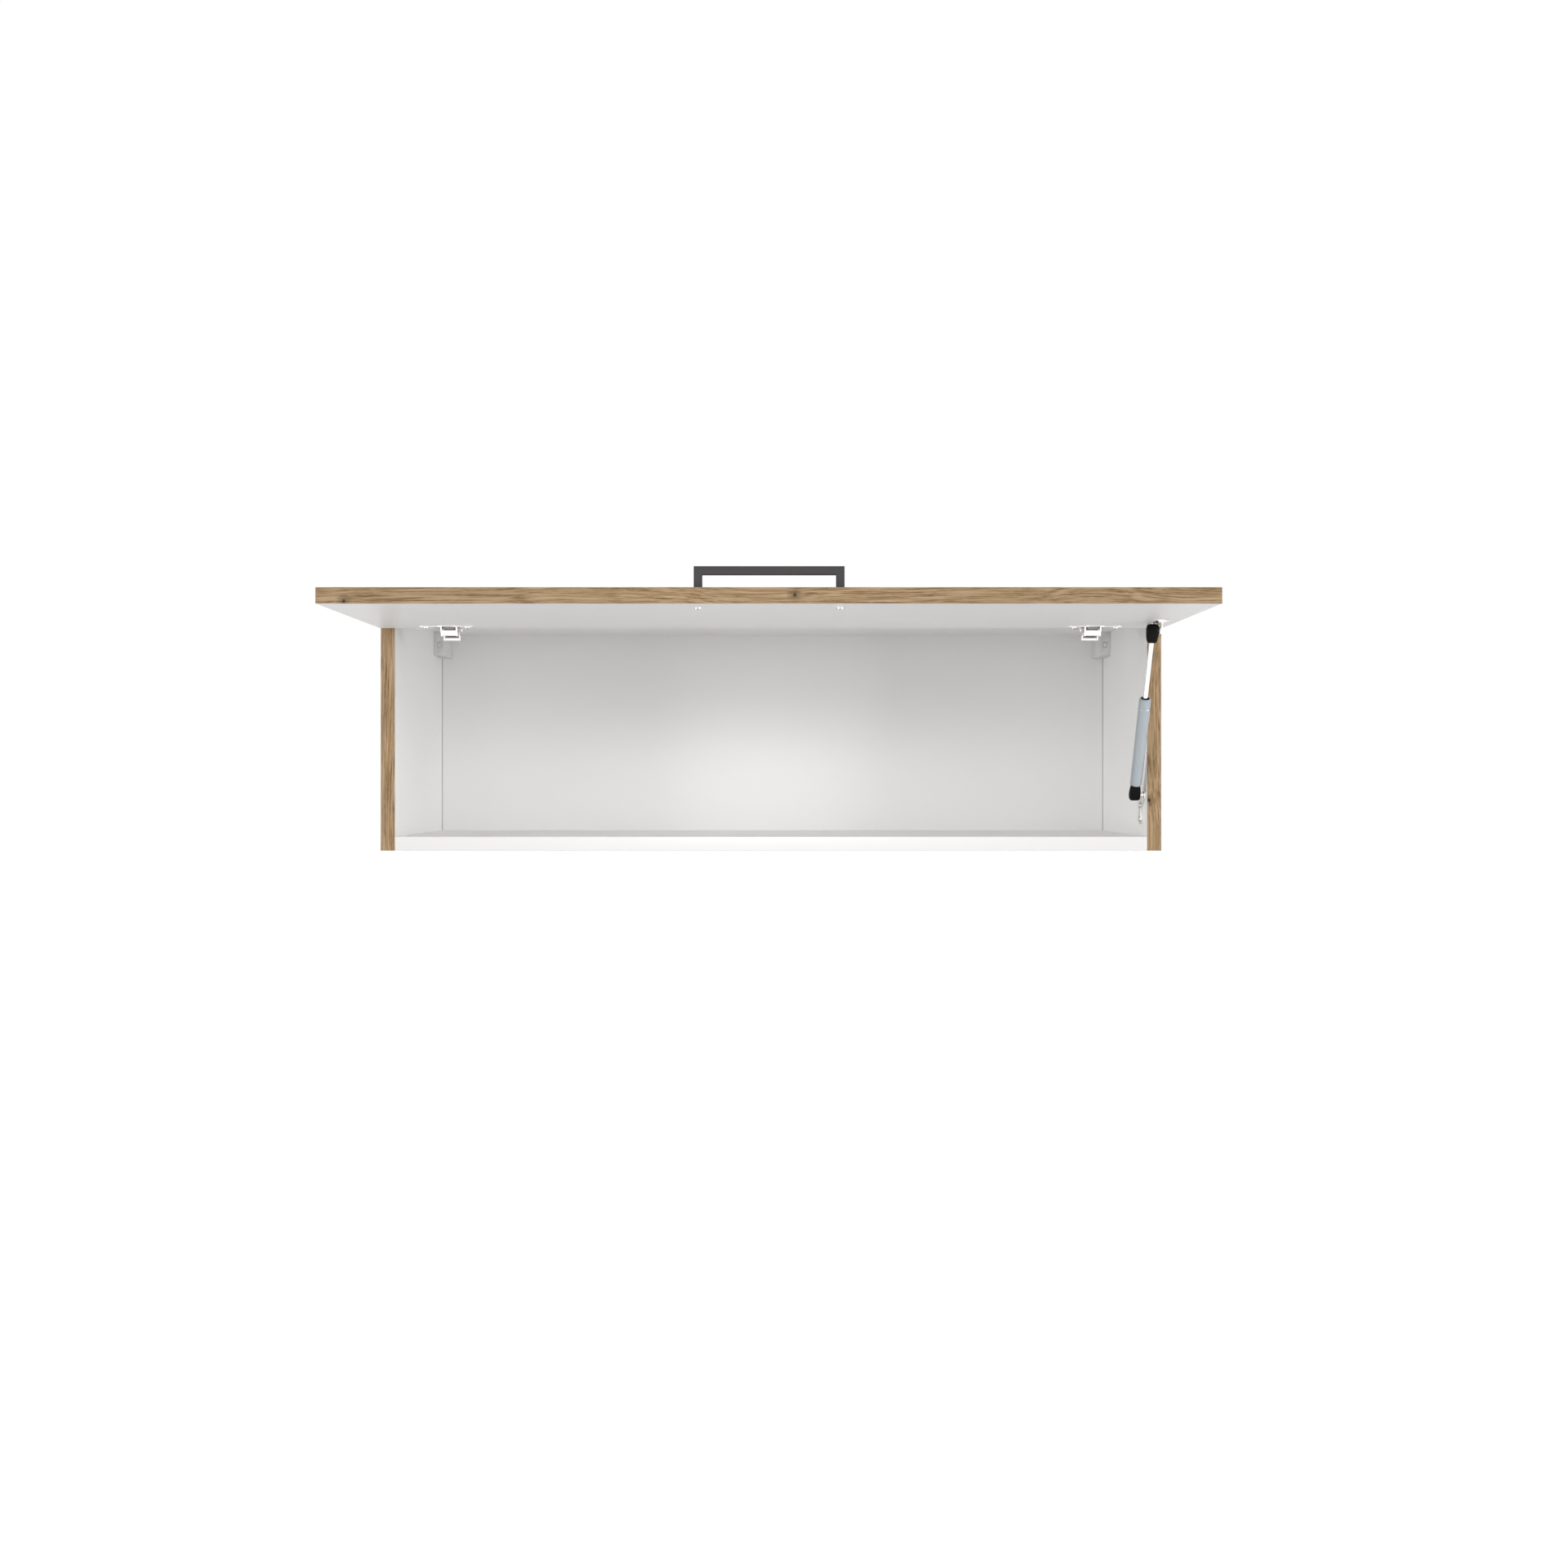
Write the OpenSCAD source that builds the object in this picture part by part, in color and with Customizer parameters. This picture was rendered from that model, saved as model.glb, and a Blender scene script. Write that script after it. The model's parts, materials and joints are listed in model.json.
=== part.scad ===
// Lift-up wall cabinet: a board carcass hung on a wall, with one flap that
// swings up on two concealed hinges and is carried by a gas strut on the right.
// The frame: X to the right, Y towards the wall, Z up. The origin is the centre
// of the carcass underside, and the flap is drawn open, as it stands in use.

/* [Carcass] */
// Outer width of the carcass
cab_w = 1000; // [700:10:1200]
// Outer height of the carcass
cab_h = 320; // [310:5:450]
// Outer depth of the carcass, without the flap
cab_d = 335; // [320:5:420]
// Thickness of the carcass boards
board_t = 18; // [16:0.5:19]
// Thickness of the edging strips on every visible board edge
edging_t = 1; // [0.5:0.1:2]
// Thickness of the back panel
back_t = 3; // [2.5:0.5:5]
// Free space between the back panel and the wall
back_recess = 12; // [10:1:16]
// Depth of the groove that holds the back panel
groove_depth = 8; // [5:0.5:9]

/* [Board joints] */
// Diameter of the wooden dowels
dowel_d = 8; // [6:0.5:10]
// Length of the wooden dowels
dowel_len = 30; // [26:1:35]
// Distance from a board's ends to its first cam lock
joint_inset = 45; // [35:1:70]
// Diameter of the cam locks
cam_d = 15; // [12:0.5:16]
// Height of the cam locks
cam_h = 12.5; // [11:0.5:13]
// Distance from the board end to the cam's axis
cam_inset = 34; // [24:0.5:40]
// Diameter of the cam bolt's shank
cam_bolt_d = 6; // [5:0.5:7]

/* [Flap] */
// Thickness of the flap
flap_t = 18; // [17:0.5:19]
// Distance that the flap stays inside each end of the carcass
flap_side_gap = 1; // [0.5:0.5:3]
// Distance that the closed flap stays below the top and above the underside
flap_end_gap = 2; // [1.5:0.5:3]
// Air between the closed flap and the carcass
flap_air = 1.5; // [1.5:0.25:2.5]
// Height of the open flap's inner face below the top panel
flap_drop = 18; // [17:0.5:19]
// Distance from the carcass front to the open flap's rear edge
flap_forward = 10; // [9:0.5:11]

/* [Hinges] */
// Distance from the carcass end to the middle of a hinge
hinge_inset = 91.5; // [75:0.5:140]
// Diameter of the hinge cup
cup_d = 35; // [34:0.5:36]
// Depth of the hinge cup in the flap
cup_depth = 12; // [11.5:0.25:13]
// Distance from the flap's edge to the cup
cup_edge = 3; // [2.5:0.25:3.5]
// Thickness of the cup's sheet
cup_wall = 1; // [0.8:0.1:1.2]
// Length of the cup's flange
flange_len = 70; // [66:1:76]
// Width of the cup's flange
flange_w = 17; // [15:0.5:20]
// Distance between the flange's two screws
flange_pitch = 52; // [50:0.5:54]
// Distance of the flange's screws behind the cup's axis
flange_offset = 5.5; // [4:0.5:7]
// Height of the outer link's pin below the top panel
outer_pin_drop = 20; // [19.5:0.25:20.5]
// Depth of the outer link's pin behind the carcass front
outer_pin_in = 10; // [9.5:0.25:10.5]
// Height of the inner link's pin below the top panel
inner_pin_drop = 30; // [29.5:0.25:30.5]
// Depth of the inner link's pin behind the carcass front
inner_pin_in = 4; // [3.5:0.25:4.5]
// Width of the knuckle over the inner link's cheeks
knuckle_w = 21.5; // [20:0.25:22.5]
// Thickness of the inner link's cheeks
link_sheet = 2; // [1.5:0.1:2.2]
// Diameter of the pins in the arm
arm_pin_d = 3; // [2.6:0.1:3.2]
// Diameter of the pins in the cup
cup_pin_d = 2.5; // [2.2:0.1:2.7]
// Length of the arm behind its pins
arm_len = 66; // [60:1:80]
// Thickness of the arm's sheet
arm_sheet = 1.5; // [1.2:0.1:1.8]
// Width of the mounting plate over its wings
plate_w = 48; // [44:1:60]
// Thickness of the mounting plate's wings
plate_t = 3; // [2:0.5:4]

/* [Handle] */
// Distance between the handle's screws
handle_pitch = 160; // [96:1:320]
// Side of the handle's square bar
handle_bar = 9.5; // [8:0.5:14]
// Height of the handle above the flap
handle_rise = 28; // [24:1:40]
// Distance from the flap's lower edge to the handle's axis
handle_inset = 45; // [30:1:80]

/* [Gas strut] */
// Distance from the right side's inner face to the strut's axis
strut_inset = 13; // [13:0.5:18]
// Diameter of the strut's tube
tube_d = 15; // [13:0.5:16]
// Length of the strut's tube
tube_len = 124; // [120:1:126]
// Wall of the strut's tube
tube_wall = 1.2; // [1:0.1:1.6]
// Diameter of the strut's rod
rod_d = 6; // [5:0.5:7]
// Diameter of the balls at both ends
ball_d = 8; // [7:0.5:9]
// Distance from the flap's hinge edge to the upper ball
upper_ball_reach = 88; // [84:1:92]
// Distance from the flap's inner face to the upper ball
upper_ball_drop = 10.2; // [10:0.2:12]
// Depth of the lower ball behind the carcass front
lower_ball_in = 16; // [14:0.5:20]
// Height of the lower ball above the carcass underside
lower_ball_up = 71.7; // [70:0.1:74]
// Thickness of the strut's two brackets
bracket_t = 2; // [1.5:0.1:2.5]

/* [Hangers] */
// Width of a hanger's housing
hanger_w = 15.3; // [14:0.1:18]
// Depth of a hanger's housing
hanger_d = 61; // [50:1:70]
// Height of a hanger's housing
hanger_h = 34; // [30:0.5:40]
// Diameter of the screwdriver hole in the housing
hanger_hole_d = 7.7; // [6.5:0.1:8.5]

/* [Hidden] */
$fn = 48;
fit = 0.05;          // radial clearance of a screw, dowel or pin in its bore
running = 0.3;       // clearance between parts that pass each other
cut = 1;             // overshoot of a cutting tool

// The carcass.
half_w = cab_w/2;
inner_w = cab_w - 2*board_t;
inner_half = inner_w/2;
front_y = -cab_d/2;
rear_y = cab_d/2;
top_under = cab_h - board_t;
back_face_in = cab_d - back_recess - back_t;
back_play = 0.5;     // how far the back panel stops short of its groove's floor

// The joints of the boards: each end of the top and bottom panel has two
// dowels between two cam locks.
cam_ins = [joint_inset, cab_d - joint_inset];
dowel_step = 65;      // from a cam lock to the dowel next to it
dowel_ins = [joint_inset + dowel_step, cab_d - joint_inset - dowel_step];
dowel_share = 0.4;      // how much of a dowel is in the side
dowel_in_side = dowel_len*dowel_share;
cam_bolt_in_side = 11;
cam_bolt_neck_d = cam_bolt_d - 2;
cam_bolt_head = 2.5;
cam_slot = 1;         // how much wider than its bolt the cam's pocket is
cam_key_d = 5;
cam_key_deep = 2;

// The flap: its inner face is face_z when open, and its hinge edge is edge_in
// in front of the carcass. From open to closed it turns by 90 degrees about
// one point of the cross section, the pole.
flap_w = cab_w - 2*flap_side_gap;
flap_h = cab_h - 2*flap_end_gap;
face_z = top_under - flap_drop;
edge_in = -flap_forward;
pole_sum = face_z - flap_air;
pole_diff = cab_h - flap_end_gap - edge_in;
pole = [(pole_sum - pole_diff)/2, (pole_sum + pole_diff)/2];

// The hinge links. Each has one pin in the arm and one in the cup. Its cup pin
// lies where the arm pin is as far from it with the flap open as closed.
outer_share = 0.32;
inner_share = 0.28;
function cup_pin(arm, share) =
    let (a = arm[0] - pole[0], b = arm[1] - pole[1])
    [pole[0] + share*(a + b), pole[1] + share*(b - a)];
outer_arm_pin = [outer_pin_in, top_under - outer_pin_drop];
inner_arm_pin = [inner_pin_in, top_under - inner_pin_drop];
outer_cup_pin = cup_pin(outer_arm_pin, outer_share);
inner_cup_pin = cup_pin(inner_arm_pin, inner_share);

hinge_x = half_w - hinge_inset;
cup_r = cup_d/2;
cup_in = edge_in - cup_edge - cup_r;
cup_mouth_r = cup_r - cup_wall;
flange_t = 1;
flange_in = cup_in - flange_offset;
rim_lap = 0.8;
rim_r = cup_r + rim_lap;
cup_screw_d = 3.8;
cup_screw_len = 12;
cup_head_d = 7.4;
cup_head_h = 1.4;

// Across the hinge, from the middle out: outer link, arm cheeks, inner link
// cheeks, cup lugs.
cheek_out = knuckle_w/2;
cheek_in = cheek_out - link_sheet;
arm_half = cheek_in - running;
arm_cheek_in = arm_half - arm_sheet;
outer_link_half = arm_cheek_in - running;
lug_gap = 0.7;
cup_lug_in = cheek_out + lug_gap;
lug_half = 2.4;
lug_lap = 0.5;       // how far the lugs and ears run into the cup's floor
ear_play = 0.1;      // how far the ears for the outer link stay inside the arm
outer_eye_wall = 1.1;
inner_eye_wall = 1.15;
arm_eye_wall = 1.9;
outer_eye_r = cup_pin_d/2 + outer_eye_wall;
inner_eye_r = cup_pin_d/2 + inner_eye_wall;
arm_eye_r = arm_pin_d/2 + arm_eye_wall;
eye_step = 0.1;
link_r = 1.6;
web_r = 0.8;
web_lap = 0.2;

// The bends of the links. The outer link dives out of the cup, under the
// flap's edge and up to its arm pin. The inner link's knee is below its cup pin.
outer_bend_in_cup = 4.3;
outer_bend_drop = 1.4;
outer_dip_in = 3.5;
outer_dip_drop = 5.2;
outer_rise_in = 7;
outer_rise_drop = 5.6;
inner_knee = [7.3, -13.8];
inner_bend_in = 2.3;
inner_bend_drop = 1.75;
inner_web_top = [4.4, -8.3];
inner_web_foot = [2, 0];

// The arm and its mounting plate.
arm_web_drop = 14;
arm_web_z = top_under - arm_web_drop;
nose_len = 8;        // from the outer pin to the front of the channel's web
nose_lap = 2;
nose_reach = 6;      // from the outer pin to the nose's front
nose_chin = [0.6, 1.5];
nose_web_back = 1.5; // from the inner pin to the rear edge of the nose's web
arm_front_in = outer_pin_in + nose_len;
arm_rear_in = outer_pin_in + arm_len;
rail_half = arm_cheek_in - running;
rail_start = 6;
rail_front_in = arm_front_in + rail_start;
rail_play = 0.2;
rail_z = arm_web_z + arm_sheet + rail_play;
wing_back = 27;      // from the outer pin to the middle of the wings
wing_in = outer_pin_in + wing_back;
wing_len = 18;
plate_screw_edge = 7.5;
plate_screw_x = plate_w/2 - plate_screw_edge;
plate_screw_d = 5;
plate_screw_len = 12;
plate_head_d = 8;
plate_head_h = 2;
arm_screw_front = 6;
arm_screw_rear = 14;
arm_screw_ins = [rail_front_in + arm_screw_front, arm_rear_in - arm_screw_rear];
arm_screw_d = 4;
arm_screw_grip = 5.5;
arm_screw_hole = 6;
arm_head_d = 7;
arm_head_h = 2.2;

// The handle on the flap's outer face.
handle_in = edge_in - flap_h + handle_inset;
flap_top_z = face_z + flap_t;
handle_len = handle_pitch + handle_bar;
handle_screw_d = 4;
handle_screw_grip = 9;
handle_tap_spare = 1;
handle_hole_play = 0.4;
handle_head_d = 8.4;
handle_head_h = 2.2;

// The strut, drawn between its two balls.
strut_x = inner_half - strut_inset;
upper_ball = [edge_in - upper_ball_reach, face_z - upper_ball_drop];
lower_ball = [lower_ball_in, lower_ball_up];
strut_vec = upper_ball - lower_ball;
strut_len = norm(strut_vec);
strut_tilt = atan2(strut_vec[1], strut_vec[0]);
rod_r = rod_d/2;
tube_r = tube_d/2;
bore_r = tube_r - tube_wall;
socket_w = 15.5;           // across a socket, square to the ball's stud
upper_socket_len = 15.3;   // from the ball's centre to the mouth for the rod
upper_socket_t = 15.4;
lower_socket_len = 15;     // from the ball's centre to the tube
lower_socket_t = 14.2;
rod_grip = 6;
tube_start = lower_socket_len;
tube_end = tube_start + tube_len;
tube_stud_len = 4;
tube_foot = 4;
tube_lip = 1.2;            // the tube's mouth, rolled in over the guide
tube_lip_over = 0.8;
tube_lip_r = bore_r - tube_lip_over;
roll_back = 13;            // from the mouth to a groove rolled in to hold the guide
roll_at = tube_end - roll_back;
roll_deep = 0.6;
roll_half = 1.2;
guide_at = roll_at + roll_half + running;
rod_top = strut_len - upper_socket_len + rod_grip;
piston_len = 9;
piston_grip = 5;
piston_rest = 3;           // from the groove to the piston, with the strut drawn out
piston_at = roll_at - piston_rest - piston_len;
seal_w = 2;
seal_deep = 1.2;

// The balls of the strut and what holds them.
ball_r = ball_d/2;
ball_flat = 0.6;           // how much the ball's tip is cut flat
ball_tip = ball_r - ball_flat;
ball_play = 0.1;
mouth_lap = 0.4;           // how far the socket's mouth closes over the ball
socket_mouth_r = ball_r - mouth_lap;
neck_share = 0.55;
neck_r = ball_r*neck_share;
collar_over = 0.5;
collar_r = ball_r + collar_over;
collar_t = 1.4;
rivet_r = 2.4;
rivet_out = 0.6;

// The strut's brackets: an angle on the flap and a plate on the right side.
ear_gap = 1.5;             // from the ear to the right side
ear_out = inner_half - ear_gap;
ear_in_x = ear_out - bracket_t;
ear_r = 5;
flap_foot_front = 43;      // from the upper ball to the foot's front end
flap_foot_rear = 18;       // from the upper ball to the foot's rear end
flap_foot_w = 15;
flap_screw_end = 8;
flap_screw_side = 1;
side_plate_x = inner_half - bracket_t;
side_screw_back = 24;
side_screw_drop = 13.7;
side_screw_pitch = 18;
side_screws = [for (step = [0, 1])
    [lower_ball_in + side_screw_back, lower_ball_up - side_screw_drop - step*side_screw_pitch]];
side_lobe_r = 7;
wood_screw_d = 3.5;
wood_screw_len = 13;
wood_head_d = 7;
wood_head_h = 1.6;

// The hangers.
hanger_rear_in = back_face_in;
hanger_front_in = hanger_rear_in - hanger_d;
hanger_low = top_under - hanger_h;
hanger_wall = 2;
hanger_screw_drop = 18;
hanger_screw_z = top_under - hanger_screw_drop;
hanger_screw_d = 4.4;
hanger_screw_tip_d = 2.1;
hanger_screw_tip = 6;
hanger_head_in = 4;
hanger_head_h = 3.2;
hanger_head_play = 0.9;
hanger_peg_d = 10;
hanger_peg_len = 11;
hanger_peg_first = 14;
hanger_peg_pitch = 32;
hanger_peg_ins = [for (step = [0, 1]) hanger_front_in + hanger_peg_first + step*hanger_peg_pitch];
hanger_peg_up = 10;
hanger_peg_z = hanger_low + hanger_peg_up;
hook_t = 3;
hook_start = 26;     // from the housing's front to the hook's block
hook_front_in = hanger_front_in + hook_start;
hook_wall_gap = 2;
hook_rear_in = cab_d - hook_wall_gap;
hook_up = 9;
hook_top = hanger_screw_z + hook_up;
hook_down = 7;
hook_low = hanger_screw_z - hook_down;
hook_throat = 5;
hook_lip = 4;
hook_bevel = [4, 3];
hook_clear = 1;      // from the back panel to the hook's neck
hook_tap = [2.2, 12];
slot_play = 0.5;

// ---------------------------------------------------------------- helpers

// Y of a place that lies this far behind the carcass front.
function behind(depth) = front_y + depth;

// A board from one corner, given by its depth behind the front, and its size.
module board(x, depth, z, size) {
    translate([x, behind(depth), z]) cube(size);
}

// A round bar along X, from x0 to x1, at a place [depth, z].
module bar_x(place, x0, x1, d) {
    translate([x0, behind(place[0]), place[1]]) rotate([0, 90, 0]) cylinder(h = x1 - x0, d = d);
}

// A round bar along Y, from one depth to another.
module bar_y(x, z, from, to, d) {
    translate([x, behind(to), z]) rotate([90, 0, 0]) cylinder(h = to - from, d = d);
}

// A round bar along Z, from z0 to z1.
module bar_z(x, depth, z0, z1, d) {
    translate([x, behind(depth), z0]) cylinder(h = z1 - z0, d = d);
}

// A [depth, z] outline extruded along X from x0 to x1.
module slab_x(x0, x1) {
    translate([x0, front_y, 0]) rotate([90, 0, 90]) linear_extrude(x1 - x0) children();
}

// The same outline twice, mirrored about x = 0, as the two cheeks of a link.
module cheeks(x0, x1) {
    slab_x(x0, x1) children();
    slab_x(-x1, -x0) children();
}

// A strip of half width r that follows a path, with round ends and corners.
// Its runs are a hair narrower, so that their sides cut the rounds cleanly.
module strip(path, r) {
    half = r - 0.02;
    for (p = path) translate(p) circle(r);
    for (i = [0 : len(path) - 2]) {
        run = path[i + 1] - path[i];
        translate(path[i]) rotate(atan2(run[1], run[0])) translate([0, -half]) square([norm(run), 2*half]);
    }
}

// A screw that points along +Z from the seat of its head, with a cross recess.
module screw(d, length, head_d, head_h) {
    cross = [head_d*0.6, head_d*0.14];
    deep = head_h*0.6;
    difference() {
        union() {
            cylinder(h = length, d = d);
            translate([0, 0, -head_h]) cylinder(h = head_h, d = head_d);
        }
        for (turn = [0, 90]) rotate(turn)
            translate([-cross[0]/2, -cross[1]/2, -head_h - cut]) cube([cross[0], cross[1], cut + deep]);
    }
}

// Both hinges have the same part, placed at its own middle.
module at_hinge(side) {
    translate([side*hinge_x, 0, 0]) children();
}

// ---------------------------------------------------------------- carcass

module side_panel(side) {
    x0 = side > 0 ? inner_half : -half_w;
    difference() {
        board(x0, edging_t, 0, [board_t, cab_d - edging_t, cab_h]);
        mirror([side > 0 ? 0 : 1, 0, 0]) side_machining(side);
    }
}

// What is cut into a side: the back panel's groove, the dowel and cam bolt
// holes, the hanger's pegs and, on the right, the strut bracket's screws.
module side_machining(side) {
    board(inner_half - cut, back_face_in, board_t - groove_depth,
        [groove_depth + cut, back_t, inner_height() + 2*groove_depth]);
    for (z = [board_t/2, cab_h - board_t/2]) {
        for (depth = dowel_ins)
            bar_x([depth, z], inner_half - cut, inner_half + dowel_in_side + fit, dowel_d + 2*fit);
        for (depth = cam_ins)
            bar_x([depth, z], inner_half - cut, inner_half + cam_bolt_in_side + fit, cam_bolt_d + 2*fit);
    }
    for (depth = hanger_peg_ins)
        bar_x([depth, hanger_peg_z], inner_half - cut, inner_half + hanger_peg_len + fit,
            hanger_peg_d + 2*fit);
    if (side > 0) for (place = side_screws)
        bar_x(place, inner_half - cut, inner_half + wood_screw_len - bracket_t + fit, wood_screw_d + 2*fit);
}

function inner_height() = cab_h - 2*board_t;

// The top and bottom panels lie between the sides. The cams are let in from
// the face that nobody sees: the top of one and the underside of the other.
module level_panel(z, cam_up) {
    difference() {
        board(-inner_half, edging_t, z, [inner_w, cab_d - edging_t, board_t]);
        board(-inner_half - cut, back_face_in, cam_up ? z - cut : z + board_t - groove_depth,
            [inner_w + 2*cut, back_t, groove_depth + cut]);
        for (side = [-1, 1]) {
            for (depth = dowel_ins) mirror([side > 0 ? 0 : 1, 0, 0])
                bar_x([depth, z + board_t/2], inner_half - dowel_len + dowel_in_side - fit, inner_half + cut,
                    dowel_d + 2*fit);
            for (depth = cam_ins) mirror([side > 0 ? 0 : 1, 0, 0]) {
                bar_x([depth, z + board_t/2], inner_half - cam_inset, inner_half + cut,
                    cam_bolt_d + cam_slot);
                cam_pocket(depth, z, cam_up);
            }
        }
        if (cam_up) for (side = [-1, 1]) at_hinge(side) for (x = [-plate_screw_x, plate_screw_x])
            bar_z(x, wing_in, z - cut, z + plate_screw_len - plate_t + fit, plate_screw_d + 2*fit);
    }
}

module cam_pocket(depth, z, cam_up) {
    floor_z = cam_up ? z + board_t - cam_h : z;
    bar_z(inner_half - cam_inset, depth, cam_up ? floor_z : z - cut, cam_up ? z + board_t + cut : z + cam_h,
        cam_d + 2*fit);
}

module left_side() { color("#e9e8e6") side_panel(-1); }
module right_side() { color("#e9e8e6") side_panel(1); }
module top_panel() { color("#eceae8") level_panel(top_under, true); }
module bottom_panel() { color("#eceae8") level_panel(0, false); }

module back_panel() {
    reach = groove_depth - back_play;
    color("#e4e2e0") difference() {
        board(-inner_half - reach, back_face_in, board_t - reach,
            [inner_w + 2*reach, back_t, inner_height() + 2*reach]);
        for (side = [-1, 1])
            translate([side*(inner_half - hanger_w/2) - hook_t/2 - slot_play, behind(back_face_in) - cut,
                hook_low - slot_play])
                cube([hook_t + 2*slot_play, back_t + 2*cut, hook_top - hook_low + 2*slot_play]);
    }
}

module side_edging(side) {
    board(side > 0 ? inner_half : -half_w, 0, 0, [board_t, edging_t, cab_h]);
}
module left_side_edging() { color("#8f7656") side_edging(-1); }
module right_side_edging() { color("#8f7656") side_edging(1); }
module top_edging() { color("#f4f3f2") board(-inner_half, 0, top_under, [inner_w, edging_t, board_t]); }
module bottom_edging() { color("#f4f3f2") board(-inner_half, 0, 0, [inner_w, edging_t, board_t]); }

module carcass_dowels() {
    color("#d8b98a") for (side = [-1, 1], z = [board_t/2, cab_h - board_t/2], depth = dowel_ins)
        mirror([side > 0 ? 0 : 1, 0, 0])
            bar_x([depth, z], inner_half + dowel_in_side - dowel_len, inner_half + dowel_in_side, dowel_d);
}

// A cam lock is a short drum with a side pocket that pulls on the bolt's head.
module cam_locks() {
    color("#9b9ea2") for (side = [-1, 1], up = [0, 1], depth = cam_ins) mirror([side > 0 ? 0 : 1, 0, 0]) {
        z0 = up == 1 ? cab_h - cam_h + fit : 0;
        z1 = up == 1 ? cab_h : cam_h - fit;
        mid = up == 1 ? cab_h - board_t/2 : board_t/2;
        difference() {
            bar_z(inner_half - cam_inset, depth, z0, z1, cam_d);
            bar_x([depth, mid], inner_half - cam_inset - cam_slot, inner_half - cam_inset + cam_d,
                cam_bolt_d + cam_slot);
            bar_z(inner_half - cam_inset, depth, up == 1 ? z1 - cam_key_deep : z0 - cut,
                up == 1 ? z1 + cut : z0 + cam_key_deep, cam_key_d);
        }
    }
}

module cam_bolts() {
    color("#b9bcc0") for (side = [-1, 1], z = [board_t/2, cab_h - board_t/2], depth = cam_ins)
        mirror([side > 0 ? 0 : 1, 0, 0]) {
            bar_x([depth, z], inner_half, inner_half + cam_bolt_in_side, cam_bolt_d);
            bar_x([depth, z], inner_half - cam_inset + cam_bolt_head, inner_half, cam_bolt_neck_d);
            bar_x([depth, z], inner_half - cam_inset, inner_half - cam_inset + cam_bolt_head, cam_bolt_d);
        }
}

// ---------------------------------------------------------------- hangers

// A moulded housing in the upper rear corner, held to the side by two pegs.
module hanger(side) {
    mirror([side > 0 ? 0 : 1, 0, 0]) {
        x0 = inner_half - hanger_w;
        difference() {
            board(x0, hanger_front_in, hanger_low, [hanger_w, hanger_d, hanger_h]);
            board(x0 + hanger_wall, hanger_front_in + hanger_wall, hanger_low + hanger_wall,
                [hanger_w - 2*hanger_wall, hanger_d, hanger_h - 2*hanger_wall]);
            bar_y(x0 + hanger_w/2, hanger_screw_z, hanger_front_in - cut, hanger_front_in + hanger_wall + cut,
                hanger_hole_d);
        }
        for (depth = hanger_peg_ins)
            bar_x([depth, hanger_peg_z], inner_half - hanger_wall/2, inner_half + hanger_peg_len,
                hanger_peg_d);
    }
}
module left_hanger() { color("#dcdcda") hanger(-1); }
module right_hanger() { color("#dcdcda") hanger(1); }

// The steel hook leaves through the back panel and drops over the wall rail.
module hanger_hooks() {
    neck_in = back_face_in + back_t + hook_clear;
    heel_in = hook_front_in + hook_bevel[0];
    color("#b5b8bb") for (side = [-1, 1]) translate([side*(inner_half - hanger_w/2), 0, 0])
        difference() {
            slab_x(-hook_t/2, hook_t/2) polygon([
                [hook_front_in, hook_low + hook_bevel[1]], [hook_front_in, hook_top - hook_bevel[1]],
                [heel_in, hook_top], [hook_rear_in, hook_top], [hook_rear_in, hook_low],
                [hook_rear_in - hook_lip, hook_low], [hook_rear_in - hook_lip, hook_top - hook_throat],
                [neck_in, hook_top - hook_throat], [neck_in, hook_low], [heel_in, hook_low]]);
            bar_y(0, hanger_screw_z, hook_front_in - cut, hook_front_in + hook_tap[1], hook_tap[0]);
        }
}

// The adjusting screw runs from the housing's front wall into the hook.
module hanger_screws() {
    seat_in = hanger_front_in + hanger_head_in;
    shank = hook_front_in - seat_in;
    color("#c9ccd0") for (side = [-1, 1])
        translate([side*(inner_half - hanger_w/2), behind(seat_in), hanger_screw_z]) rotate([-90, 0, 0]) {
            screw(hanger_screw_d, shank, hanger_hole_d - hanger_head_play, hanger_head_h);
            cylinder(h = shank + hanger_head_in + hanger_screw_tip, d = hanger_screw_tip_d);
        }
}

// ---------------------------------------------------------------- hinges

module hinge_plate(side) {
    at_hinge(side) difference() {
        union() {
            board(-plate_w/2, wing_in - wing_len/2, top_under - plate_t, [plate_w, wing_len, plate_t]);
            board(-rail_half, rail_front_in, rail_z,
                [2*rail_half, arm_rear_in - rail_front_in, top_under - rail_z]);
        }
        for (x = [-plate_screw_x, plate_screw_x])
            bar_z(x, wing_in, top_under - plate_t - cut, top_under + cut, plate_screw_d + 2*fit);
        for (depth = arm_screw_ins)
            bar_z(0, depth, rail_z - cut, rail_z + arm_screw_hole, arm_screw_d + 2*fit);
    }
}
module left_hinge_plate() { color("#c3c6c9") hinge_plate(-1); }
module right_hinge_plate() { color("#c3c6c9") hinge_plate(1); }

module hinge_plate_screws() {
    color("#b9bcc0") for (side = [-1, 1]) at_hinge(side) for (x = [-plate_screw_x, plate_screw_x])
        translate([x, behind(wing_in), top_under - plate_t])
            screw(plate_screw_d, plate_screw_len, plate_head_d, plate_head_h);
}

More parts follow.
